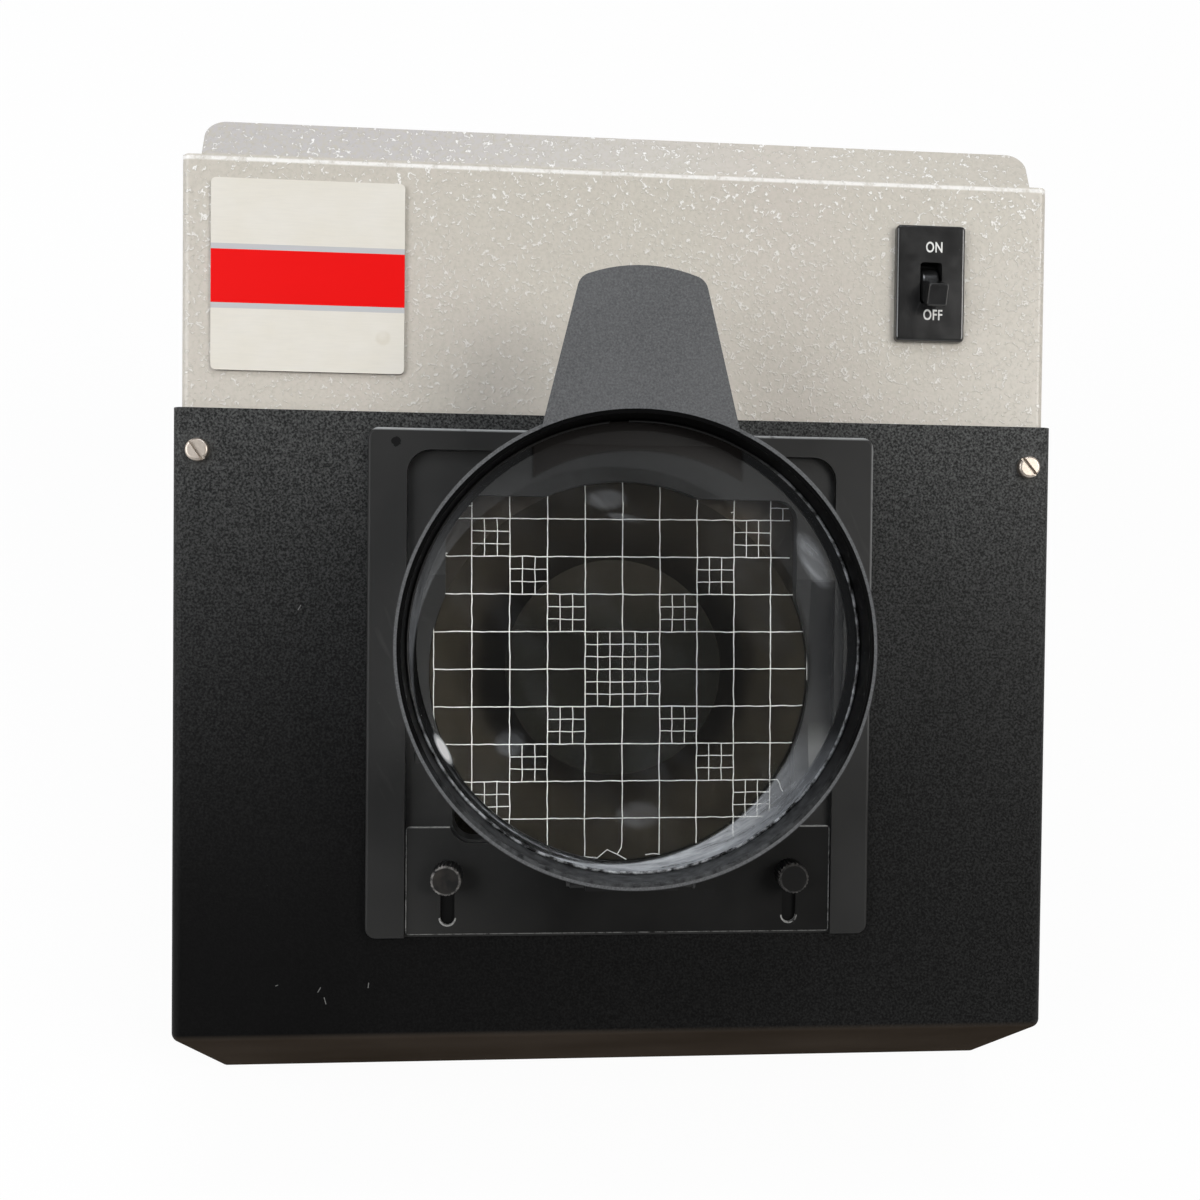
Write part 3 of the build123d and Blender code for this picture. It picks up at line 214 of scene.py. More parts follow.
class Finish(Nodes):
    """A material under construction."""

    def __init__(self, name):
        self.material = bpy.data.materials.new(name)
        self.material.use_nodes = True
        super().__init__(self.material.node_tree)
        self.where = self.node("ShaderNodeTexCoord", output="Object")

    def noise(self, size, detail=2.0, roughness=0.5, vector=None, offset=0.0):
        """Noise with features about size millimetres wide."""
        settings = {"noise_dimensions": "4D"}
        values = {"Vector": vector or self.where, "W": offset, "Scale": 1 / (size * MM)}
        values |= {"Detail": detail, "Roughness": roughness}
        return self.node("ShaderNodeTexNoise", settings, values)

    def cells(self, size):
        """Distance from the middles of cells about size millimetres wide."""
        values = {"Vector": self.where, "Scale": 1 / (size * MM)}
        return self.node("ShaderNodeTexVoronoi", None, values, "Distance")

    def stretched(self, scale, turn=(0, 0, 0)):
        """Object coordinates, turned and scaled."""
        values = {"Vector": self.where, "Rotation": turn, "Scale": scale}
        return self.node("ShaderNodeMapping", {"vector_type": "TEXTURE"}, values)

    def on_panel(self):
        """The panel's u, v and w, in metres."""
        inverse = PANEL.inverted()
        values = {"Vector": self.where, "Location": inverse.translation, "Rotation": inverse.to_euler()}
        mapped = self.node("ShaderNodeMapping", {"vector_type": "POINT"}, values)
        return [self.node("ShaderNodeSeparateXYZ", None, (mapped,), axis) for axis in range(3)]

    def away(self, u, v):
        """How far a place is across and up from a point of the panel given in millimetres, in metres."""
        here = self.on_panel()
        return here[0] - u * MM, here[1] - v * MM

    def reach(self, u, v):
        """Distance from a point of the panel, given in millimetres, across the panel, in metres."""
        across, up = self.away(u, v)
        return (across * across + up * up).root()

    def axes(self, u, v, turn):
        """How far a place is along and aside of an axis turned in degrees about a point of the panel."""
        across, up = self.away(u, v)
        cosine, sine = math.cos(math.radians(turn)), math.sin(math.radians(turn))
        return across * cosine + up * sine, up * cosine - across * sine

    def dash(self, u, v, length, turn, width=0.22):
        """1 on a short thin line about a point of the panel, in millimetres and degrees."""
        along, aside = self.axes(u, v, turn)
        return (abs(along) < length / 2 * MM) * abs(aside).ramp(width / 2 * MM, width * 0.35 * MM)

    def glow(self, u, v, length, width, turn):
        """1 at a point of the panel, fading to 0 at the edge of an ellipse, in millimetres and degrees."""
        along, aside = self.axes(u, v, turn)
        along, aside = along / (length / 2 * MM), aside / (width / 2 * MM)
        return (along * along + aside * aside).root().ramp(1.0, 0.55)

    def mix(self, share, first, second):
        """From the first colour to the second."""
        opaque = [c if isinstance(c, Link) else (*c[:3], 1.0) for c in (first, second)]
        settings = {"data_type": "RGBA"}
        return self.node("ShaderNodeMix", settings, {0: share, 6: opaque[0], 7: opaque[1]}, 2)

    def bump(self, height, depth, strength):
        """Relief of depth millimetres."""
        values = {"Height": height, "Distance": depth * MM, "Strength": strength}
        return self.node("ShaderNodeBump", None, values)

    def coat(self, colour, **values):
        """The main shader."""
        values["Base Color"] = colour if isinstance(colour, Link) else (*colour[:3], 1.0)
        inputs = {name.replace("_", " "): value for name, value in values.items()}
        return self.node("ShaderNodeBsdfPrincipled", None, inputs)

    def surface(self, colour, **values):
        """The main shader, shown."""
        return self.show(self.coat(colour, **values))

    def parted(self, share, first, second):
        """Two shaders, the second where share is 1, shown."""
        return self.show(self.node("ShaderNodeMixShader", None, (share, first, second)))

    def show(self, shader):
        """Shows a shader and gives the finished material."""
        out = self.tree.nodes.new("ShaderNodeOutputMaterial")
        self.tree.links.new(shader.socket, out.inputs["Surface"])
        return self.material


def hammered_enamel(colour):
    """Hammered enamel: short crooked painted glints, brighter up the slope, each with painted shade beside it, a
    painted highlight along the top bend, and a painted lilac-grey reflection on the lip's left end.
    """
    f = Finish("beige_hammered_enamel")
    u, v, w = f.on_panel()
    ridge = abs(f.noise(2.6, 2, 0.5) - 0.5)
    patch = f.noise(1.3, 2, 0.5, offset=3.0)
    crowd = f.noise(34, 2, offset=5.0).ramp(0.35, 0.65) * 0.04
    # Painted glints: short crooked highlights on the hammered relief, with painted shade beside each one, painted
    # brighter up the slope.
    painted_glint = ridge.ramp(0.032, 0.008) * (patch + crowd).ramp(0.55, 0.60)
    shade = ridge.ramp(0.075, 0.035) * (patch + crowd).ramp(0.50, 0.56)
    bright = v.ramp(0.215, 0.236) * 0.35 + 0.45
    tint = f.noise(60, 2)
    grain = f.noise(1.1, 3, 0.6)
    # Painted highlight along the top bend, broken by noise.
    bend = abs(v - TOP_BEND_V * MM).ramp(0.00075, 0.0003) * (w > -0.0024)
    bend = bend * f.noise(3.0, 3, 0.7).ramp(0.25, 0.5)
    # Painted reflection: the lip turns lilac-grey towards its left end.
    painted_lip_reflection = v.ramp((TOP_BEND_V + 1.0) * MM, (TOP_BEND_V + 1.6) * MM) * u.ramp(0.040, -0.060)
    base = f.mix(tint.ramp(0.3, 0.7), [colour[0] * 0.98, colour[1] * 0.95, colour[2] * 0.98], colour)
    base = f.mix(painted_lip_reflection * 0.7, base, (0.49, 0.475, 0.49))
    base = f.mix(grain.ramp(0.34, 0.55), [c * 0.9 for c in colour], base)
    base = f.mix(shade * 0.22, base, [c * 0.68 for c in colour])
    base = f.mix((painted_glint * bright).highest(bend * 0.7), base, (1.0, 0.99, 0.97))
    relief = f.bump(ridge.ramp(0.08, 0.0) * (patch + crowd).ramp(0.5, 0.58) + grain * 0.5, 0.14, 0.9)
    return f.surface(base, Roughness=0.4 - painted_glint * 0.2, Coat_Weight=0.3, Coat_Roughness=0.2, Normal=relief)


def wrinkle_enamel(colour):
    """Black enamel whose fine pale grain is painted glints, in a painted sheen that grows up the slope and to the
    right, with lint, and a brown painted reflection on its front wall.
    """
    f = Finish("black_wrinkle_enamel")
    u, v, _ = f.on_panel()
    wrinkle = f.noise(0.62, 2, 0.6)
    cloud = f.noise(60, 3)
    # Painted sheen: the pale grain grows up the slope and to the right, where the enamel mirrors the light.
    painted_sheen = v.ramp(0.018, 0.175)
    painted_sheen = painted_sheen * painted_sheen * 1.15 + u.ramp(-0.08, 0.12) * 0.22 + cloud * 0.05
    lint = (f.cells(9.0) < 0.018) * f.noise(30, 1, offset=2.0).ramp(0.5, 0.62)
    for at, up, length, turn in LINT:
        lint = lint.highest(f.dash(at, up, length, turn))
    rubbed = 0.0
    for side in (-1, 1):
        halo = f.reach(side * COVER_SCREW_U, COVER_SCREW_V).ramp(0.0062, 0.0040)
        rubbed = halo * cloud.ramp(0.3, 0.6) * 0.12 + rubbed
    level = painted_sheen * (wrinkle.ramp(0.40, 0.66) * 1.5 + 0.25) * 0.42
    base = f.mix(level, [c * 0.2 for c in colour], (0.105, 0.107, 0.105))
    base = f.mix(lint.highest(rubbed) * 0.45, base, (0.4, 0.4, 0.39))
    relief = f.bump(wrinkle, 0.08, 0.6)
    top = f.coat(base, Roughness=0.42 + cloud * 0.12, Specular_IOR_Level=0.10, Normal=relief)
    # Painted reflection: the black front wall is brown, as it mirrors a warm floor.
    bloom = f.mix(cloud.ramp(0.3, 0.7), (0.032, 0.0245, 0.018), (0.052, 0.041, 0.032))
    front = f.coat(bloom, Roughness=0.6 + cloud * 0.1, Specular_IOR_Level=0.0, Normal=relief)
    return f.parted(v.ramp(0.0004, -0.0014), top, front)


def satin_moulding(name, colour, roughness=0.42):
    """Dark moulded plastic with faint handling marks."""
    f = Finish(name)
    cloud = f.noise(26, 3)
    fine = f.noise(0.9, 2)
    rub = f.noise(5.0, 3, 0.6, f.stretched((1, 6, 6), (0, 0, 0.6)), 4.0).ramp(0.6, 0.8)
    base = f.mix(cloud.ramp(0.3, 0.7), colour, [c * 1.35 for c in colour])
    base = f.mix(rub * 0.25, base, (0.2, 0.2, 0.2))
    relief = f.bump(fine + cloud, 0.03, 0.5)
    return f.surface(base, Roughness=roughness + 0.16 * (1 - cloud) - 0.08, Normal=relief)


def knurled_metal(colour):
    """Blackened knobs, pale round the rim and on the knurls; the left knob is paler on its face and rim, and the
    right knob darker all over.
    """
    f = Finish("blackened_knurled_metal")
    u, v, w = f.on_panel()
    across, up = abs(u) - THUMB_U * MM, v - THUMB_V * MM
    radius = (across * across + up * up).root()
    broken = f.noise(1.6, 3, 0.7)
    left_knob_share = (u < 0) * 0.75 + 0.25
    rim = abs(radius - (KNOB_R - 0.2) * MM).ramp(0.0004, 0.0002) * (w > KNOB_RIM_W * MM)
    rim = rim * broken.ramp(0.35, 0.6) * left_knob_share
    knurl = (radius > KNOB_R * MM) * (w > KNOB_W * MM) * broken.ramp(0.45, 0.65)
    face = (radius < (KNOB_R - 0.6) * MM) * f.noise(3.0, 3).ramp(0.4, 0.7) * left_knob_share
    base = f.mix(u > 0, colour, [c * 0.3 for c in colour])
    base = f.mix(face * 0.5 * left_knob_share, base, (0.06, 0.052, 0.044))
    base = f.mix((rim * 0.6).highest(knurl * 0.35), base, (0.42, 0.40, 0.38))
    relief = f.bump(f.noise(0.8, 2), 0.03, 0.4)
    return f.surface(base, Roughness=0.36 + broken * 0.14, Specular_IOR_Level=0.25, Normal=relief)


def stage_moulding(colour):
    """The stage's moulding: a painted highlight along its upper and right edges, a chip, scuffs, painted shade on
    the floor under the slots, and painted light and shade in the finger scoop.
    """
    f = Finish("black_stage_moulding")
    u, v, w = f.on_panel()
    # Painted highlight: a pale line along the stage's upper and right edges, where they catch the light.
    upper = (v - STAGE_V * MM).ramp((STAGE_HALF - 0.55) * MM, STAGE_HALF * MM)
    right = u.ramp((STAGE_HALF - 0.5) * MM, (STAGE_HALF + 0.1) * MM) * v.ramp(0.06, 0.15)
    edge = upper.highest(right * 0.7) * (w > 0.0036) * f.noise(4.0, 3, 0.7).ramp(0.2, 0.42)
    cloud = f.noise(30, 3)
    rub = f.noise(5.0, 3, 0.6, f.stretched((1, 7, 7), (0, 0, 0.5)), 4.0).ramp(0.62, 0.8)
    scuff = f.noise(3.0, 4, 0.7, f.stretched((9, 1, 1), (0, 0, -0.9)), 6.0).ramp(0.66, 0.74)
    ragged = f.reach(*CHIP) + f.noise(1.5, 2) * 0.0016
    chip = (ragged < 0.0021) * (w > 0.003)
    base = f.mix(cloud.ramp(0.3, 0.7), colour, [c * 1.5 for c in colour])
    base = f.mix(rub.highest(scuff) * 0.12, base, (0.2, 0.2, 0.2))
    # Painted shade: black on the pocket floor under the bracket's slots.
    under = (abs(abs(u) - THUMB_U * MM) < 0.0024) * (v > SLOT_V[0] * MM) * (v < SLOT_V[1] * MM) * (w < 0.0030)
    # Painted light and shade in the finger scoop: dark at its upper side, pale at its lower side.
    painted_scoop_shading = (u > SCOOP_U[0] * MM) * (u < SCOOP_U[1] * MM) * (w < 0.0024)
    painted_scoop_shading = painted_scoop_shading * (abs(v - WELL_V * MM) < SCOOP_HALF * MM)
    base = f.mix(painted_scoop_shading * v.ramp(0.090, 0.100) * 0.7, base, (0.001, 0.001, 0.001))
    base = f.mix(painted_scoop_shading * v.ramp(0.088, 0.080) * 0.5, base, (0.2, 0.2, 0.19))
    base = f.mix(chip.highest(under), base, (0.001, 0.001, 0.001))
    base = f.mix(edge * 0.8, base, (0.45, 0.46, 0.46))
    relief = f.bump(f.noise(0.8, 2), 0.03, 0.45)
    return f.surface(base, Roughness=0.38 + cloud * 0.12, Specular_IOR_Level=0.2, Normal=relief)


def bracket_paint(colour):
    """Black paint, paler on the left as painted light out of the lens ring's shadow, with a broken pale line along
    the plate's edges and round the slots' ends that is partly worn metal and partly painted highlight.
    """
    f = Finish("worn_black_paint")
    u, v, w = f.on_panel()
    # A broken pale line along the plate's edges and round the slots' low ends: partly paint worn to metal, partly
    # painted highlight on edges and slot walls that catch the light.
    low_edge = (v < BRACKET_LOW * MM) * 0.4
    top_edge = v.ramp((BRACKET_TOP - 0.25) * MM, BRACKET_TOP * MM)
    edge = abs(u).ramp((BRACKET_HALF - 0.2) * MM, BRACKET_HALF * MM).highest(top_edge).highest(low_edge)
    thumb, low = abs(u) - THUMB_U * MM, v - SLOT_END_V * MM
    slot = (abs((thumb * thumb + low * low).root() - SLOT_R * MM) < 0.00022) * (low < 0)
    broken = f.noise(2.2, 4, 0.75).ramp(0.36, 0.52)
    worn = edge.highest(slot) * broken * (w > BRACKET_W[0] * MM) * (w < BRACKET_W[1] * MM)
    cloud = f.noise(22, 3)
    base = f.mix(cloud.ramp(0.3, 0.7), [c * 0.35 for c in colour], [c * 0.65 for c in colour])
    # Painted light: paler on the left, out of the lens ring's shadow.
    base = f.mix(u.ramp(-0.02, -0.055), base, [c * 1.5 for c in colour])
    base = f.mix(worn * 0.8, base, (0.4, 0.4, 0.39))
    relief = f.bump(f.noise(0.7, 2), 0.03, 0.4)
    return f.surface(base, Roughness=0.36 + cloud * 0.12, Specular_IOR_Level=0.12, Normal=relief)


def speckled_enamel(colour):
    """Speckled enamel: black as painted shade on the ring's outer wall, glossy inside the ring, and pale at the
    bore's low side, partly dust and partly painted light.
    """
    f = Finish("charcoal_speckled_enamel")
    speck = f.noise(0.5, 2, 0.7)
    cloud = f.noise(24, 3)
    v = f.on_panel()[1]
    radius = f.reach(RING_U, RING_V)
    bore = radius < FACE_R * MM
    # Dust and painted light: the bore turns pale grey at its low side, which faces up the slope into the light.
    dust = v.ramp(0.085, 0.060) * f.noise(2.5, 3, 0.7).ramp(0.25, 0.6)
    inside = f.mix(dust * 0.2, (0.003, 0.003, 0.003), (0.32, 0.33, 0.34))
    base = f.mix(speck.ramp(0.35, 0.7), [c * 0.7 for c in colour], [c * 1.4 for c in colour])
    base = f.mix(cloud.ramp(0.35, 0.75) * 0.3, base, [c * 1.4 for c in colour])
    # Painted shade: black on the ring's outer wall and on the arm below it, except up by the tab.
    wall = radius.ramp((FACE_R + 0.65) * MM, (FACE_R + 0.9) * MM) * v.ramp(0.150, 0.140)
    base = f.mix(wall, base, (0.008, 0.008, 0.008))
    relief = f.bump(speck, 0.06, 0.6)
    outside = f.coat(base, Roughness=0.5 + speck * 0.12, Specular_IOR_Level=0.25, Normal=relief)
    gloss = f.coat(inside, Roughness=0.3 + cloud * 0.1, Specular_IOR_Level=0.03)
    return f.parted(bore, outside, gloss)


def wire_black(colour):
    """The retaining wire's black, with broken painted highlights at its low and right sides."""
    f = Finish("black_spring_wire")
    u, v, _ = f.on_panel()
    broken = f.noise(3.0, 3, 0.7).ramp(0.42, 0.62)
    # Painted highlights where the wire catches the light, at its low and right sides.
    side = v.ramp(0.100, 0.070).highest(u.ramp(0.030, 0.050) * 0.7)
    base = f.mix(broken * side * 0.8, colour, (0.5, 0.52, 0.54))
    relief = f.bump(f.noise(2.0, 2), 0.02, 0.3)
    return f.surface(base, Roughness=0.3 + broken * 0.1, Specular_IOR_Level=0.3, Normal=relief)


def sheet_metal(name, colour, roughness=0.35, size=1.2):
    """Plated or turned metal with fine uneven lustre."""
    f = Finish(name)
    grain = f.noise(size, 3)
    cloud = f.noise(9.0, 2)
    base = f.mix(grain.ramp(0.3, 0.7), [c * 0.8 for c in colour], colour)
    base = f.mix(cloud.ramp(0.35, 0.7) * 0.35, base, [c * 0.65 for c in colour])
    relief = f.bump(grain, 0.02, 0.4)
    return f.surface(base, Metallic=1.0, Roughness=roughness + grain * 0.15, Normal=relief)


def matt_black(name, colour):
    """Matt black paint, a little brown and dusty, with painted light making it paler high up the slope."""
    f = Finish(name)
    v = f.on_panel()[1]
    cloud = f.noise(14, 3)
    dust = f.noise(0.8, 2).ramp(0.55, 0.8) * 0.1
    flecks = (f.cells(5.0) < 0.035) * 0.35
    base = f.mix(cloud.ramp(0.3, 0.7), colour, [c * 1.6 for c in colour])
    # Painted light: paler and browner high up the slope, where the inside is lit.
    base = f.mix(v.ramp(0.108, 0.142) * 0.9, base, (0.085, 0.070, 0.056))
    base = f.mix(dust.highest(flecks), base, (0.16, 0.15, 0.14))
    return f.surface(base, Roughness=0.6 + cloud * 0.2, Specular_IOR_Level=0.1, Normal=f.bump(cloud, 0.05, 0.3))


def dusty_lens(f, smear, clear):
    """A dusty lens's film, the film's colour and its shadow, from its smears and the shadow of clear glass.

    Its film is dust along its edge, most of all at its low side, and it is also painted light there, standing in
    for light the lens bends onto its edge.
    The streaky patches are painted reflections and the flash is a painted highlight. A painted dark arc stands in
    for the tab's reflection.
    It throws a dark ring of shadow, as its edge bends the light inwards.
    """
    u, v, w = f.on_panel()
    upper = w > (LENS_SEAT + LENS_EDGE / 2) * MM
    across, up = u - RING_U * MM, v - RING_V * MM
    radius = (across * across + up * up).root()
    angle = up.math("ARCTAN2", up, across)
    polar = f.node("ShaderNodeCombineXYZ", None, (radius, angle * 0.006, 0.0))
    arcs = f.noise(1.1, 4, 0.7, polar).ramp(0.35, 0.7)
    streaks = f.noise(2.2, 4, 0.65, f.stretched((1, 7, 7), (0, 0, 0.9)), 2.0).ramp(0.35, 0.7)
    # Dust and painted light: the film at the low and left sides, and the bright edge ring, stand in for light the
    # lens bends onto its edge.
    low_side = v.ramp(0.088, 0.056) * 0.48
    left_side = u.ramp(-0.020, -0.050) * v.ramp(0.155, 0.120) * 0.17
    edge_ring = abs(radius - 0.0556).ramp(0.00030, 0.00012) * v.ramp(0.085, 0.060) * 0.6
    film = f.reach(*CLEAN_LENS).ramp(0.0500, 0.0505) * (low_side.highest(left_side) * (arcs * 1.2 + 0.6) + 0.02)
    smear = smear.highest(film).highest(edge_ring * arcs)
    # Painted reflections: hazy, streaky patches where the lens mirrors the room.
    for *patch, strength in HAZE:
        smear = smear.highest(f.glow(*patch) * (streaks * 0.75 + 0.25) * strength)
    # Painted highlight where the lens's edge flashes.
    flash = f.glow(*FLASH)
    # Painted reflection: a dark arc where the lens mirrors the tab.
    shaded = radius.ramp(0.0495, 0.0503) * abs(across).ramp(TAB_HALF * MM, (TAB_HALF - 0.8) * MM) * (up > 0)
    smear = smear.highest(flash).highest(shaded * 0.75) * upper
    colour = f.mix(shaded > 0.01, f.mix(flash, FILM_GREY, (1, 1, 1)), (0.006, 0.004, 0.003))
    dark = f.node("ShaderNodeBsdfTransparent", None, {"Color": (0.12, 0.12, 0.12, 1)})
    shadow = f.node("ShaderNodeMixShader", None, (radius.ramp(0.030, 0.050), clear, dark))
    return smear, colour, shadow


def clear_glass(name, tint, ior=1.5, haze=0.0, roughness=0.0, shine=0.5, dusty=False):
    """Glass that shows what is under it. Haze is its share of smears and shine scales its reflection."""
    f = Finish(name)
    smear = f.noise(16, 3, 0.6, f.stretched((1, 2.5, 2.5), (0, 0, 0.7))).ramp(0.55, 0.8) * haze
    shadow = f.node("ShaderNodeBsdfTransparent", None, {"Color": (*tint, 1)})
    film_colour = FILM_GREY
    if dusty:
        smear, film_colour, shadow = dusty_lens(f, smear, shadow)
    bent = {"Color": (*tint, 1), "IOR": ior, "Roughness": roughness}
    inside = f.node("ShaderNodeBsdfRefraction", None, bent)
    mirror = f.node("ShaderNodeBsdfAnisotropic", None, {"Roughness": roughness + 0.06})
    edge = f.node("ShaderNodeFresnel", None, {"IOR": ior})
    film = f.coat(film_colour, Roughness=0.4)
    glass = f.node("ShaderNodeMixShader", None, (edge * shine, inside, mirror))
    hazy = f.node("ShaderNodeMixShader", None, (smear, glass, film))
    shaded_ray = f.node("ShaderNodeLightPath", output="Is Shadow Ray")
    return f.parted(shaded_ray, hazy, shadow)


def glazed(colour):
    """Glazed ceramic, with a slight unevenness."""
    f = Finish("glazed_ceramic")
    cloud = f.noise(7, 2)
    base = f.mix(cloud.ramp(0.3, 0.7), colour, [c * 0.88 for c in colour])
    return f.surface(base, Roughness=0.2 + cloud * 0.1, Coat_Weight=0.4, Normal=f.bump(cloud, 0.05, 0.3))


def gloss_moulding(colour):
    """Polished black moulding with faint dust and rub marks."""
    f = Finish("polished_black_moulding")
    cloud = f.noise(5, 3)
    dust = (f.cells(1.9) < 0.05) * f.noise(6, 1, offset=5.0).ramp(0.5, 0.6)
    base = f.mix(cloud.ramp(0.4, 0.8), colour, [c * 2.2 for c in colour])
    base = f.mix(dust * 0.3, base, (0.35, 0.35, 0.34))
    relief = f.bump(f.noise(3.5, 2), 0.05, 0.35)
    return f.surface(base, Roughness=0.12 + cloud * 0.16, Coat_Weight=0.5, Coat_Roughness=0.08, Normal=relief)


def banded_plate(white, red, silver):
    """Bare printed plate: a red band between two silver lines, on white, with a stain, darker sides and a painted
    shadow along its low side.
    """
    f = Finish("banded_plate")
    _, v, w = f.on_panel()
    fade = f.noise(9, 3)
    brushed = f.noise(0.5, 2, 0.6, f.stretched((12, 1, 1)))
    paper = f.mix(fade.ramp(0.3, 0.75) * 0.5, white, [white[0] * 0.93, white[1] * 0.91, white[2] * 0.85])
    paper = f.mix(brushed.ramp(0.4, 0.75) * 0.12, paper, (0.5, 0.49, 0.46))
    stain = f.reach(*STAIN).ramp(0.0023, 0.0016) * fade.ramp(0.3, 0.5)
    paper = f.mix(stain * 0.2, paper, (0.45, 0.38, 0.25))
    stripe = abs(v - BAND_V * MM) < (BAND_HALF + BAND_EDGE) * MM
    band = abs(v - BAND_V * MM) < BAND_HALF * MM
    base = f.mix(stripe, paper, silver)
    base = f.mix(band, base, red)
    side = w < PLATE_W * MM
    base = f.mix(side, base, (0.35, 0.34, 0.31))
    # Painted shadow: the plate's low side is nearly black.
    base = f.mix(side * (v < (PLATE_LOW + 0.2) * MM), base, (0.05, 0.03, 0.025))
    return f.surface(base, Roughness=0.4 + brushed * 0.15, Specular_IOR_Level=0.15)


def ruling_paint(colour):
    """Pale raised paint."""
    f = Finish("pale_ruling_paint")
    patch = f.noise(1.5, 2)
    base = f.mix(patch.ramp(0.35, 0.7), [c * 0.82 for c in colour], colour)
    return f.surface(base, Roughness=0.45, Normal=f.bump(patch, 0.02, 0.3))


def rubber(colour):
    """Black rubber with a faint bloom."""
    f = Finish("black_rubber")
    bloom = f.noise(4, 3)
    base = f.mix(bloom.ramp(0.35, 0.75), colour, [c * 2 for c in colour])
    return f.surface(base, Roughness=0.75, Normal=f.bump(bloom, 0.05, 0.4))


def finishes(look):
    """Every finish, by the record's material slot."""
    beige = hammered_enamel(look.beige)
    return {
        "case_paint": beige,
        "back_paint": beige,
        "cover_paint": wrinkle_enamel(look.cover_black),
        "base_zinc": sheet_metal("dull_zinc_plate", (0.5, 0.5, 0.49), 0.45, 2.5),
        "foot_rubber": rubber((0.02, 0.02, 0.02)),
        "zinc": sheet_metal("zinc_plate", (0.6, 0.6, 0.58), 0.36),
        "screw_nickel": sheet_metal("dull_nickel", (0.60, 0.53, 0.46), 0.34, 0.8),
        "stage_plastic": stage_moulding(look.stage_black),
        "insert_brass": sheet_metal("turned_brass", (0.72, 0.52, 0.25), 0.3),
        "ruled_glass": clear_glass("ruled_plate_glass", (0.95, 0.96, 0.95), 1.5, 0.02, shine=0.08),
        "inner_black": matt_black("matt_black_paint", (0.010, 0.0085, 0.006)),
        "reflector_spun": matt_black("blackened_bowl", (0.035, 0.028, 0.020)),
        "bulb_glass": clear_glass("frosted_bulb_glass", (0.9, 0.9, 0.88), 1.45, 0.1, 0.35),
        "cap_brass": sheet_metal("rolled_brass", (0.75, 0.56, 0.3), 0.28),
        "ceramic": glazed((0.82, 0.79, 0.72)),
        "bracket_paint": bracket_paint(look.stage_black),
        "pin_steel": sheet_metal("blackened_steel", (0.05, 0.05, 0.05), 0.4),
        "frame_grey": speckled_enamel(look.charcoal),
        "lens_glass": clear_glass("lens_glass", (0.985, 0.99, 0.99), 1.5, 0.03, dusty=True),
        "ring_black": wire_black((0.006, 0.006, 0.006)),
        "knob_black": knurled_metal((0.012, 0.012, 0.012)),
        "plate_print": banded_plate(look.plate_white, look.plate_red, (0.50, 0.50, 0.51)),
        "switch_black": gloss_moulding(look.switch_black),
        "block_plastic": satin_moulding("dark_block_moulding", (0.03, 0.026, 0.022)),
        "lead_cover": satin_moulding("black_lead_cover", (0.03, 0.03, 0.03), 0.5),
        "bushing_plastic": satin_moulding("black_bushing_moulding", (0.02, 0.02, 0.02), 0.45),
    }


# The finishes in use, by slot.
FINISHES = {}


# Modelling


def edit(piece):
    """Goes into edit mode with the whole of one piece selected."""
    alone(piece)
    bpy.ops.object.mode_set(mode="EDIT")
    bpy.ops.mesh.select_all(action="SELECT")


def leave():
    """Goes back to object mode."""
    bpy.ops.object.mode_set(mode="OBJECT")


def alone(piece=None):
    """Selects one object only, or nothing."""
    bpy.ops.object.select_all(action="DESELECT")
    if piece:
        piece.select_set(True)
        bpy.context.view_layer.objects.active = piece


def named(name):
    """The object just made, with its name."""
    piece = bpy.context.object
    piece.name = piece.data.name = name
    return piece


def modify(piece, kind, **settings):
    """Adds a modifier and applies it."""
    alone(piece)
    modifier = piece.modifiers.new(kind.lower(), kind)
    for name, value in settings.items():
        setattr(modifier, name, value)
    bpy.ops.object.modifier_apply(modifier=modifier.name)


def join(pieces, name):
    """Makes one piece of several."""
    alone(pieces[0])
    for piece in pieces:
        piece.select_set(True)
    bpy.ops.object.join()
    return named(name)


def smooth(piece, degrees):
    """Smooth shading, sharp past an angle."""
    alone(piece)
    bpy.ops.object.shade_smooth_by_angle(angle=math.radians(degrees))


def settle(piece, slot, body, *replaced):
    """Moves a piece's place on the panel into its mesh, gives it its finish and rides it on its body."""
    alone(piece)
    piece.matrix_world = PANEL @ piece.matrix_world
    bpy.ops.object.transform_apply(location=True, rotation=True, scale=True)
    piece.data.materials.clear()
    piece.data.materials.append(FINISHES[slot])
    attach(piece, body)
    if replaced:
        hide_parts(*replaced)
    return piece


def turned(name, profile, sides):
    """Turns (radius, height) points in millimetres about Z; a last radius of 0 closes at a pole."""
    (radius, height), *rest = profile
    alone()
    bpy.ops.mesh.primitive_circle_add(vertices=sides, radius=radius * MM, location=(0, 0, height * MM))
    piece = named(name)
    edit(piece)
    for next_radius, next_height in rest:
        rise = (0, 0, (next_height - height) * MM)
        bpy.ops.mesh.extrude_region_move(TRANSFORM_OT_translate={"value": rise})
        scale = next_radius / radius
        centre = (0, 0, next_height * MM)
        bpy.ops.transform.resize(value=(scale, scale, 1), center_override=centre)
        radius, height = max(next_radius, 1e-6), next_height
    if profile[-1][0] == 0:
        bpy.ops.mesh.merge(type="CENTER")
    leave()
    return piece


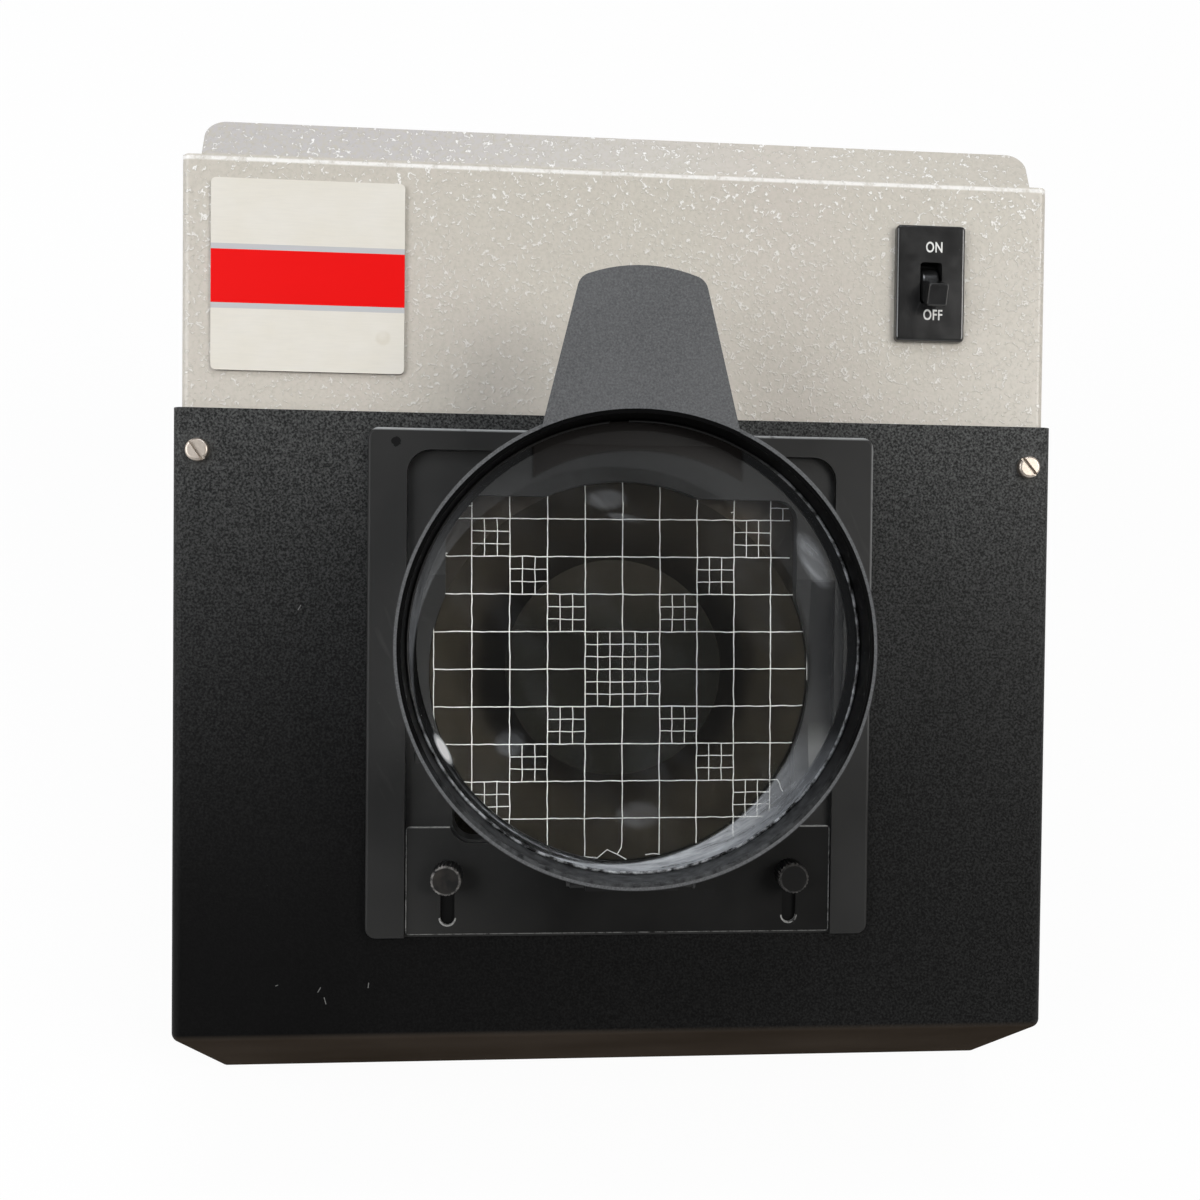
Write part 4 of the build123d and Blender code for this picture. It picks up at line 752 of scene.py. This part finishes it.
def strip(path, width):
    """A flat strip along a path of (u, v) points in millimetres, on the panel's plane."""
    alone()
    bpy.ops.mesh.primitive_grid_add(x_subdivisions=len(path) - 1, y_subdivisions=1, size=MM)
    piece = named("strip")
    points = [Vector(point) for point in path]
    rows = {}
    for vertex in piece.data.vertices:
        rows.setdefault(round(vertex.co.x, 7), []).append(vertex)
    for i, x in enumerate(sorted(rows)):
        before, after = points[max(i - 1, 0)], points[min(i + 1, len(points) - 1)]
        ahead = (after - before).normalized()
        side = Vector((-ahead.y, ahead.x)) * width / 2
        for vertex in rows[x]:
            spot = points[i] + (side if vertex.co.y > 0 else -side)
            vertex.co = (spot.x * MM, spot.y * MM, 0)
    return piece


# Sizes and colours that a user would change


class CounterLens(bpy.types.PropertyGroup):
    diameter: FloatProperty(name="Diameter", description="Lens across", default=114.3, min=60)
    edge: FloatProperty(name="Edge", description="Thickness at the lens's edge", default=LENS_EDGE, min=1)
    radius: FloatProperty(name="Radius", description="Radius of both ground faces", default=640.0, min=200)
    seat: FloatProperty(name="Seat", description="Height of the lower edge above the panel", default=LENS_SEAT)
    rings: IntProperty(name="Rings", description="Rings of faces from edge to pole", default=28, min=4)
    sides: IntProperty(name="Sides", description="Faces round the lens", default=160, min=24)


class CounterWire(bpy.types.PropertyGroup):
    radius: FloatProperty(name="Radius", description="Radius of the wire's centre line", default=57.15, min=10)
    thickness: FloatProperty(name="Thickness", description="Wire across", default=0.8, min=0.2)
    gap: FloatProperty(name="Gap", description="Degrees left open between the wire's ends", default=5.0, min=0)
    sides: IntProperty(name="Sides", description="Faces round the wire's section", default=14, min=6)
    steps: IntProperty(name="Steps", description="Steps round the wire", default=160, min=24)


class CounterRuling(bpy.types.PropertyGroup):
    pitch: FloatProperty(name="Pitch", description="Side of a ruled square", default=10.0, min=1)
    line: FloatProperty(name="Line", description="Width of a ruled line", default=0.27, min=0.05)
    fine: FloatProperty(
        name="Fine line", description="Width of the lines that divide squares", default=0.23, min=0.05
    )
    raised: FloatProperty(name="Raised", description="Thickness of the paint", default=0.05, min=0.01)
    wander: FloatProperty(name="Wander", description="How far a line strays", default=0.09, min=0)
    colour: FloatVectorProperty(
        name="Colour", description="Line paint", subtype="COLOR", default=(0.86, 0.86, 0.82)
    )


class CounterLook(bpy.types.PropertyGroup):
    beige: FloatVectorProperty(
        name="Beige", description="Enamel of the case", subtype="COLOR", default=(0.57, 0.535, 0.465)
    )
    cover_black: FloatVectorProperty(
        name="Cover", description="Enamel of the front cover", subtype="COLOR", default=(0.006, 0.006, 0.006)
    )
    stage_black: FloatVectorProperty(
        name="Stage", description="Moulding of the stage", subtype="COLOR", default=(0.019, 0.019, 0.0185)
    )
    charcoal: FloatVectorProperty(
        name="Charcoal", description="Enamel of the lens frame", subtype="COLOR", default=(0.094, 0.096, 0.099)
    )
    switch_black: FloatVectorProperty(
        name="Switch", description="Moulding of the switch", subtype="COLOR", default=(0.008, 0.008, 0.008)
    )
    plate_white: FloatVectorProperty(
        name="Plate white", description="Ground of the plate", subtype="COLOR", default=(0.73, 0.70, 0.636)
    )
    plate_red: FloatVectorProperty(
        name="Plate red", description="Band of the plate", subtype="COLOR", default=(0.78, 0.001, 0.001)
    )


class CounterSettings(bpy.types.PropertyGroup):
    lens: PointerProperty(type=CounterLens)
    wire: PointerProperty(type=CounterWire)
    ruling: PointerProperty(type=CounterRuling)
    look: PointerProperty(type=CounterLook)


# Operators


class COUNTER_OT_finishes(bpy.types.Operator):
    """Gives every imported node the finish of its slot"""

    bl_idname = "counter.finishes"
    bl_label = "Finishes"

    def execute(self, context):
        FINISHES.update(finishes(context.scene.counter.look))
        for row in FRAME["record"]["subparts"]:
            mesh = NODES[row["node"]].data
            mesh.materials.clear()
            mesh.materials.append(FINISHES[row["material_slot"]])
        return {"FINISHED"}


class COUNTER_OT_lens(bpy.types.Operator):
    """Grinds the biconvex lens"""

    bl_idname = "counter.lens"
    bl_label = "Lens"

    def execute(self, context):
        size = context.scene.counter.lens
        outer, half = size.diameter / 2, size.edge / 2
        drop = size.radius - math.sqrt(size.radius**2 - outer**2)
        profile = [(outer, 0), (outer, half)]
        for ring in range(1, size.rings + 1):
            radius = outer * (1 - ring / size.rings)
            sag = size.radius - math.sqrt(size.radius**2 - radius**2)
            profile.append((radius, half + drop - sag))
        piece = turned("lens_ground", profile, size.sides)
        modify(piece, "MIRROR", use_axis=(False, False, True), use_clip=True)
        edit(piece)
        bpy.ops.mesh.normals_make_consistent(inside=False)
        leave()
        smooth(piece, 25)
        piece.location = (RING_U * MM, RING_V * MM, (size.seat + half) * MM)
        settle(piece, "lens_glass", "magnifier", "lens")
        return {"FINISHED"}


class COUNTER_OT_wire(bpy.types.Operator):
    """Bends the split wire that holds the lens in its ring"""

    bl_idname = "counter.wire"
    bl_label = "Retaining wire"

    def execute(self, context):
        size = context.scene.counter.wire
        radius, thick = size.radius * MM, size.thickness / 2 * MM
        gap = math.radians(size.gap)
        alone()
        bpy.ops.mesh.primitive_circle_add(
            vertices=size.sides,
            radius=thick,
            fill_type="NGON",
            location=(radius, 0, 0),
            rotation=(math.pi / 2, 0, 0),
        )
        piece = named("retaining_wire")
        bpy.ops.object.transform_apply(location=True, rotation=True, scale=True)
        edit(piece)
        bpy.ops.mesh.spin(steps=size.steps, angle=2 * math.pi - gap, center=(0, 0, 0), axis=(0, 0, 1))
        bpy.ops.mesh.select_all(action="SELECT")
        bpy.ops.mesh.normals_make_consistent(inside=False)
        leave()
        smooth(piece, 40)
        piece.rotation_euler = (0, 0, math.pi / 2 + gap / 2)
        height = LENS_SEAT + LENS_EDGE + size.thickness / 2 + WIRE_GAP
        piece.location = (RING_U * MM, RING_V * MM, height * MM)
        settle(piece, "ring_black", "magnifier", "lens_retaining_ring")
        return {"FINISHED"}


# A wandering line's step in millimetres, how fast it strays along the line, and how far seeds lie apart.
STEP, STRAY_RATE, SEED_STEP = 1.6, 0.35, 3.1


def wandering(start, end, wander, seed):
    """Points along a straight line that strays a little."""
    start, end = Vector(start), Vector(end)
    count = max(2, int((end - start).length / STEP))
    ahead = (end - start).normalized()
    side = Vector((-ahead.y, ahead.x))
    points = []
    for i in range(count + 1):
        spot = start.lerp(end, i / count)
        stray = noise.noise(Vector((spot.x * STRAY_RATE, spot.y * STRAY_RATE, seed * SEED_STEP)))
        points.append(spot + side * stray * wander * 2)
    return points


# Ruled lines, in squares from the ruling's centre: where each starts and ends.
UPRIGHTS = {
    -5: (-1.34, 1.36),
    -4: (-3.74, 4.7),
    -3: (-4.6, 4.68),
    -2: (-4.75, 4.8),
    -1: (-5.05, 5.0),
    0: (-4.6, 5.0),
    1: (-5.0, 5.0),
    2: (-4.7, 4.75),
    3: (-4.6, 4.55),
    4: (-4.35, 4.6),
    5: (-0.3, 0.8),
}
LEVELS = {
    5: (-1.42, 1.34),
    4: (-4.68, 4.52),
    3: (-4.66, 4.52),
    2: (-4.85, 4.62),
    1: (-5.0, 4.92),
    0: (-5.0, 4.97),
    -1: (-5.0, 4.88),
    -2: (-4.8, 4.6),
    -3: (-4.66, 4.2),
    -4: (-3.75, 4.35),
}
# Diagonal squares, by their low left corner, that are ruled three by three.
DIVIDED = [(i, i) for i in (1, 2, 3, -2, -3, -4)] + [(i, -i - 1) for i in (1, 2, 3, -2, -3, -4)]
# Parts of the outermost divided squares that the lens's edge leaves in sight.
CORNERS = [
    ((-4.33, 4.0), (-4.33, 4.5)),
    ((-4.45, 4.33), (-4.0, 4.33)),
    ((4.33, 4.0), (4.33, 4.33)),
    ((4.0, 4.33), (4.5, 4.33)),
]
# How far the ruling's centre lies from the well's, its lift off the glass, and its turn in degrees.
RULING_SHIFT, RULING_LIFT, RULING_TURN = (0.6, 0.9), 0.01, 0.5
# Paint that has lifted at the ends of lines.
LIFTED = [
    [(-1.03, -5.03), (-0.66, -5.07), (-0.40, -4.85), (-0.12, -4.98), (0.12, -5.12)],
    [(0.0, -4.6), (-0.02, -4.8), (-0.13, -4.98)],
    [(0.63, -5.0), (0.84, -4.97), (1.02, -4.99)],
    [(4.2, -3.0), (4.26, -3.08), (4.3, -3.22), (4.36, -3.33)],
    [(-4.66, 3.0), (-4.7, 3.06), (-4.64, 3.08)],
    [(-4.66, -3.0), (-4.74, -3.05), (-4.62, -3.06)],
    [(2.92, 4.2), (3.0, 4.23), (3.0, 4.5)],
]


class COUNTER_OT_ruling(bpy.types.Operator):
    """Rules the centimetre squares on the glass plate"""

    bl_idname = "counter.ruling"
    bl_label = "Ruling"

    def execute(self, context):
        size = context.scene.counter.ruling
        FINISHES["ruling"] = ruling_paint(size.colour)
        lines = []
        for at, (low, high) in UPRIGHTS.items():
            lines.append(((at, low), (at, high), size.line))
        for at, (low, high) in LEVELS.items():
            lines.append(((low, at), (high, at), size.line))
        for third in (-2 / 3, -1 / 3, 1 / 3, 2 / 3):
            lines.append(((third, -1), (third, 1), size.fine))
            lines.append(((-1, third), (1, third), size.fine))
        for i, j in DIVIDED:
            for third in (1 / 3, 2 / 3):
                lines.append(((i + third, j), (i + third, j + 1), size.fine))
                lines.append(((i, j + third), (i + 1, j + third), size.fine))
        lines += [(start, end, size.fine) for start, end in CORNERS]
        paths = []
        for seed, (start, end, width) in enumerate(lines):
            ends = [[c * size.pitch for c in point] for point in (start, end)]
            paths.append((wandering(*ends, size.wander, seed), width))
        for points in LIFTED:
            paths.append(([Vector(point) * size.pitch for point in points], size.line))
        piece = join([strip(path, width) for path, width in paths], "ruled_lines")
        modify(piece, "SOLIDIFY", thickness=size.raised * MM, offset=1)
        aside, up = RULING_SHIFT
        piece.location = (aside * MM, (WELL_V + up) * MM, (GLASS_W + RULING_LIFT) * MM)
        piece.rotation_euler = (0, 0, math.radians(RULING_TURN))
        settle(piece, "ruled_glass", "console")
        piece.data.materials[0] = FINISHES["ruling"]
        return {"FINISHED"}


# The switch's words and their places on the panel, their height, boldness, thickness and lift.
WORDS = (("ON", 86.9, 220.7), ("OFF", 86.7, 201.7))
LETTER_SIZE, LETTER_BOLD, LETTER_THICK, LETTER_LIFT = 4.1, 0.07, 0.04, 0.03


class COUNTER_OT_lettering(bpy.types.Operator):
    """Letters the switch's two positions"""

    bl_idname = "counter.lettering"
    bl_label = "Lettering"

    def execute(self, context):
        FINISHES["letters"] = ruling_paint((0.8, 0.8, 0.77))
        for word, u, v in WORDS:
            alone()
            bpy.ops.object.text_add()
            letters = context.object
            letters.data.body = word
            letters.data.align_x = "CENTER"
            letters.data.align_y = "CENTER"
            letters.data.size = LETTER_SIZE * MM
            letters.data.offset = LETTER_BOLD * MM
            letters.data.space_character = 1.08
            letters.data.extrude = LETTER_THICK * MM
            letters.data.resolution_u = 6
            bpy.ops.object.convert(target="MESH")
            piece = named("letters_" + word.lower())
            piece.scale = (0.74, 1.0, 1.0)
            piece.location = Vector((u, v, SWITCH_TOP + LETTER_LIFT)) * MM
            settle(piece, "switch_black", "console")
            piece.data.materials[0] = FINISHES["letters"]
        return {"FINISHED"}


# The floor's side, in metres.
FLOOR_SIZE = 8
# Lamps: name, place and aim on the panel, side in metres, watts and colour.
LAMPS = (
    ("key", (1240, 480, 1500), (0, 110, 0), 0.9, 20.5, (1.0, 0.98, 0.95)),
    ("back", (120, 1500, 950), (0, 110, 0), 0.6, 9.5, (0.90, 0.94, 1.0)),
    ("fill", (-900, 300, 800), (0, 150, 0), 0.8, 8.7, (0.97, 0.98, 1.0)),
)


def area_light(name, at, aim, size, power, colour):
    """A square light at one panel point, aimed at another."""
    light = bpy.data.lights.new(name, "AREA")
    light.shape = "SQUARE"
    light.size, light.energy, light.color = size, power, colour
    lamp = bpy.data.objects.new(name, light)
    bpy.context.scene.collection.objects.link(lamp)
    lamp.location = place(*at)
    lamp.rotation_euler = (place(*aim) - lamp.location).to_track_quat("-Z", "Y").to_euler()


class COUNTER_OT_stage(bpy.types.Operator):
    """Sets the floor, the lights and the camera"""

    bl_idname = "counter.stage"
    bl_label = "Stage"

    def execute(self, context):
        scene = context.scene
        f = Finish("pale_floor")
        matt = f.node("ShaderNodeBsdfDiffuse", None, {"Color": (0.85, 0.85, 0.85, 1)})
        glow = f.node("ShaderNodeEmission", None, {"Color": (1, 1, 1, 1), "Strength": 1.0})
        direct, bounced = f.seen()
        shown = f.parted(direct.highest(bounced) * 0.94, matt, glow)
        alone()
        bpy.ops.mesh.primitive_plane_add(size=FLOOR_SIZE)
        floor = named("floor")
        floor.data.materials.append(shown)

        world = bpy.data.worlds.new("pale_studio")
        scene.world = world
        world.use_nodes = True
        sky = Nodes(world.node_tree)
        ahead = sky.node("ShaderNodeTexCoord", output="Generated")
        height = sky.node("ShaderNodeSeparateXYZ", None, (ahead,), 2)
        direct, bounced = sky.seen()
        strength = direct.highest((bounced * 0.5 + 0.5) * (1 - height.ramp(0.0, 0.6) * 0.8))
        back = sky.node("ShaderNodeBackground", None, {"Color": (1, 1, 1, 1), "Strength": strength})
        out = sky.tree.nodes.new("ShaderNodeOutputWorld")
        sky.tree.links.new(back.socket, out.inputs["Surface"])

        for lamp in LAMPS:
            area_light(*lamp)

        camera = bpy.data.cameras.new("camera")
        camera.lens, camera.sensor_width = CAMERA_LENS, CAMERA_SENSOR
        camera.shift_x, camera.shift_y = CAMERA_SHIFT
        camera.clip_start = 0.01
        eye = bpy.data.objects.new("camera", camera)
        scene.collection.objects.link(eye)
        eye.location = CAMERA_PLACE
        eye.rotation_euler = [math.radians(angle) for angle in CAMERA_TURN]
        scene.camera = eye
        scene.view_settings.view_transform = "Standard"
        return {"FINISHED"}


class COUNTER_PT_panel(bpy.types.Panel):
    bl_label = "Colony Counter"
    bl_idname = "COUNTER_PT_panel"
    bl_space_type = "VIEW_3D"
    bl_region_type = "UI"
    bl_category = "Counter"

    def draw(self, context):
        settings = context.scene.counter
        for name in ("lens", "wire", "ruling", "look"):
            box = self.layout.box()
            group = getattr(settings, name)
            for field in group.__annotations__:
                box.prop(group, field)
        for operator in OPERATORS:
            self.layout.operator(operator.bl_idname)


OPERATORS = (
    COUNTER_OT_finishes,
    COUNTER_OT_lens,
    COUNTER_OT_wire,
    COUNTER_OT_ruling,
    COUNTER_OT_lettering,
    COUNTER_OT_stage,
)
CLASSES = (CounterLens, CounterWire, CounterRuling, CounterLook, CounterSettings, *OPERATORS, COUNTER_PT_panel)


def register():
    for one in CLASSES:
        bpy.utils.register_class(one)
    bpy.types.Scene.counter = PointerProperty(type=CounterSettings)


def unregister():
    del bpy.types.Scene.counter
    for one in reversed(CLASSES):
        bpy.utils.unregister_class(one)


def main():
    """Registers the panel and makes the pieces in turn."""
    register()
    for operator in OPERATORS:
        group, name = operator.bl_idname.split(".")
        getattr(getattr(bpy.ops, group), name)()


if __name__ == "__main__":
    main()
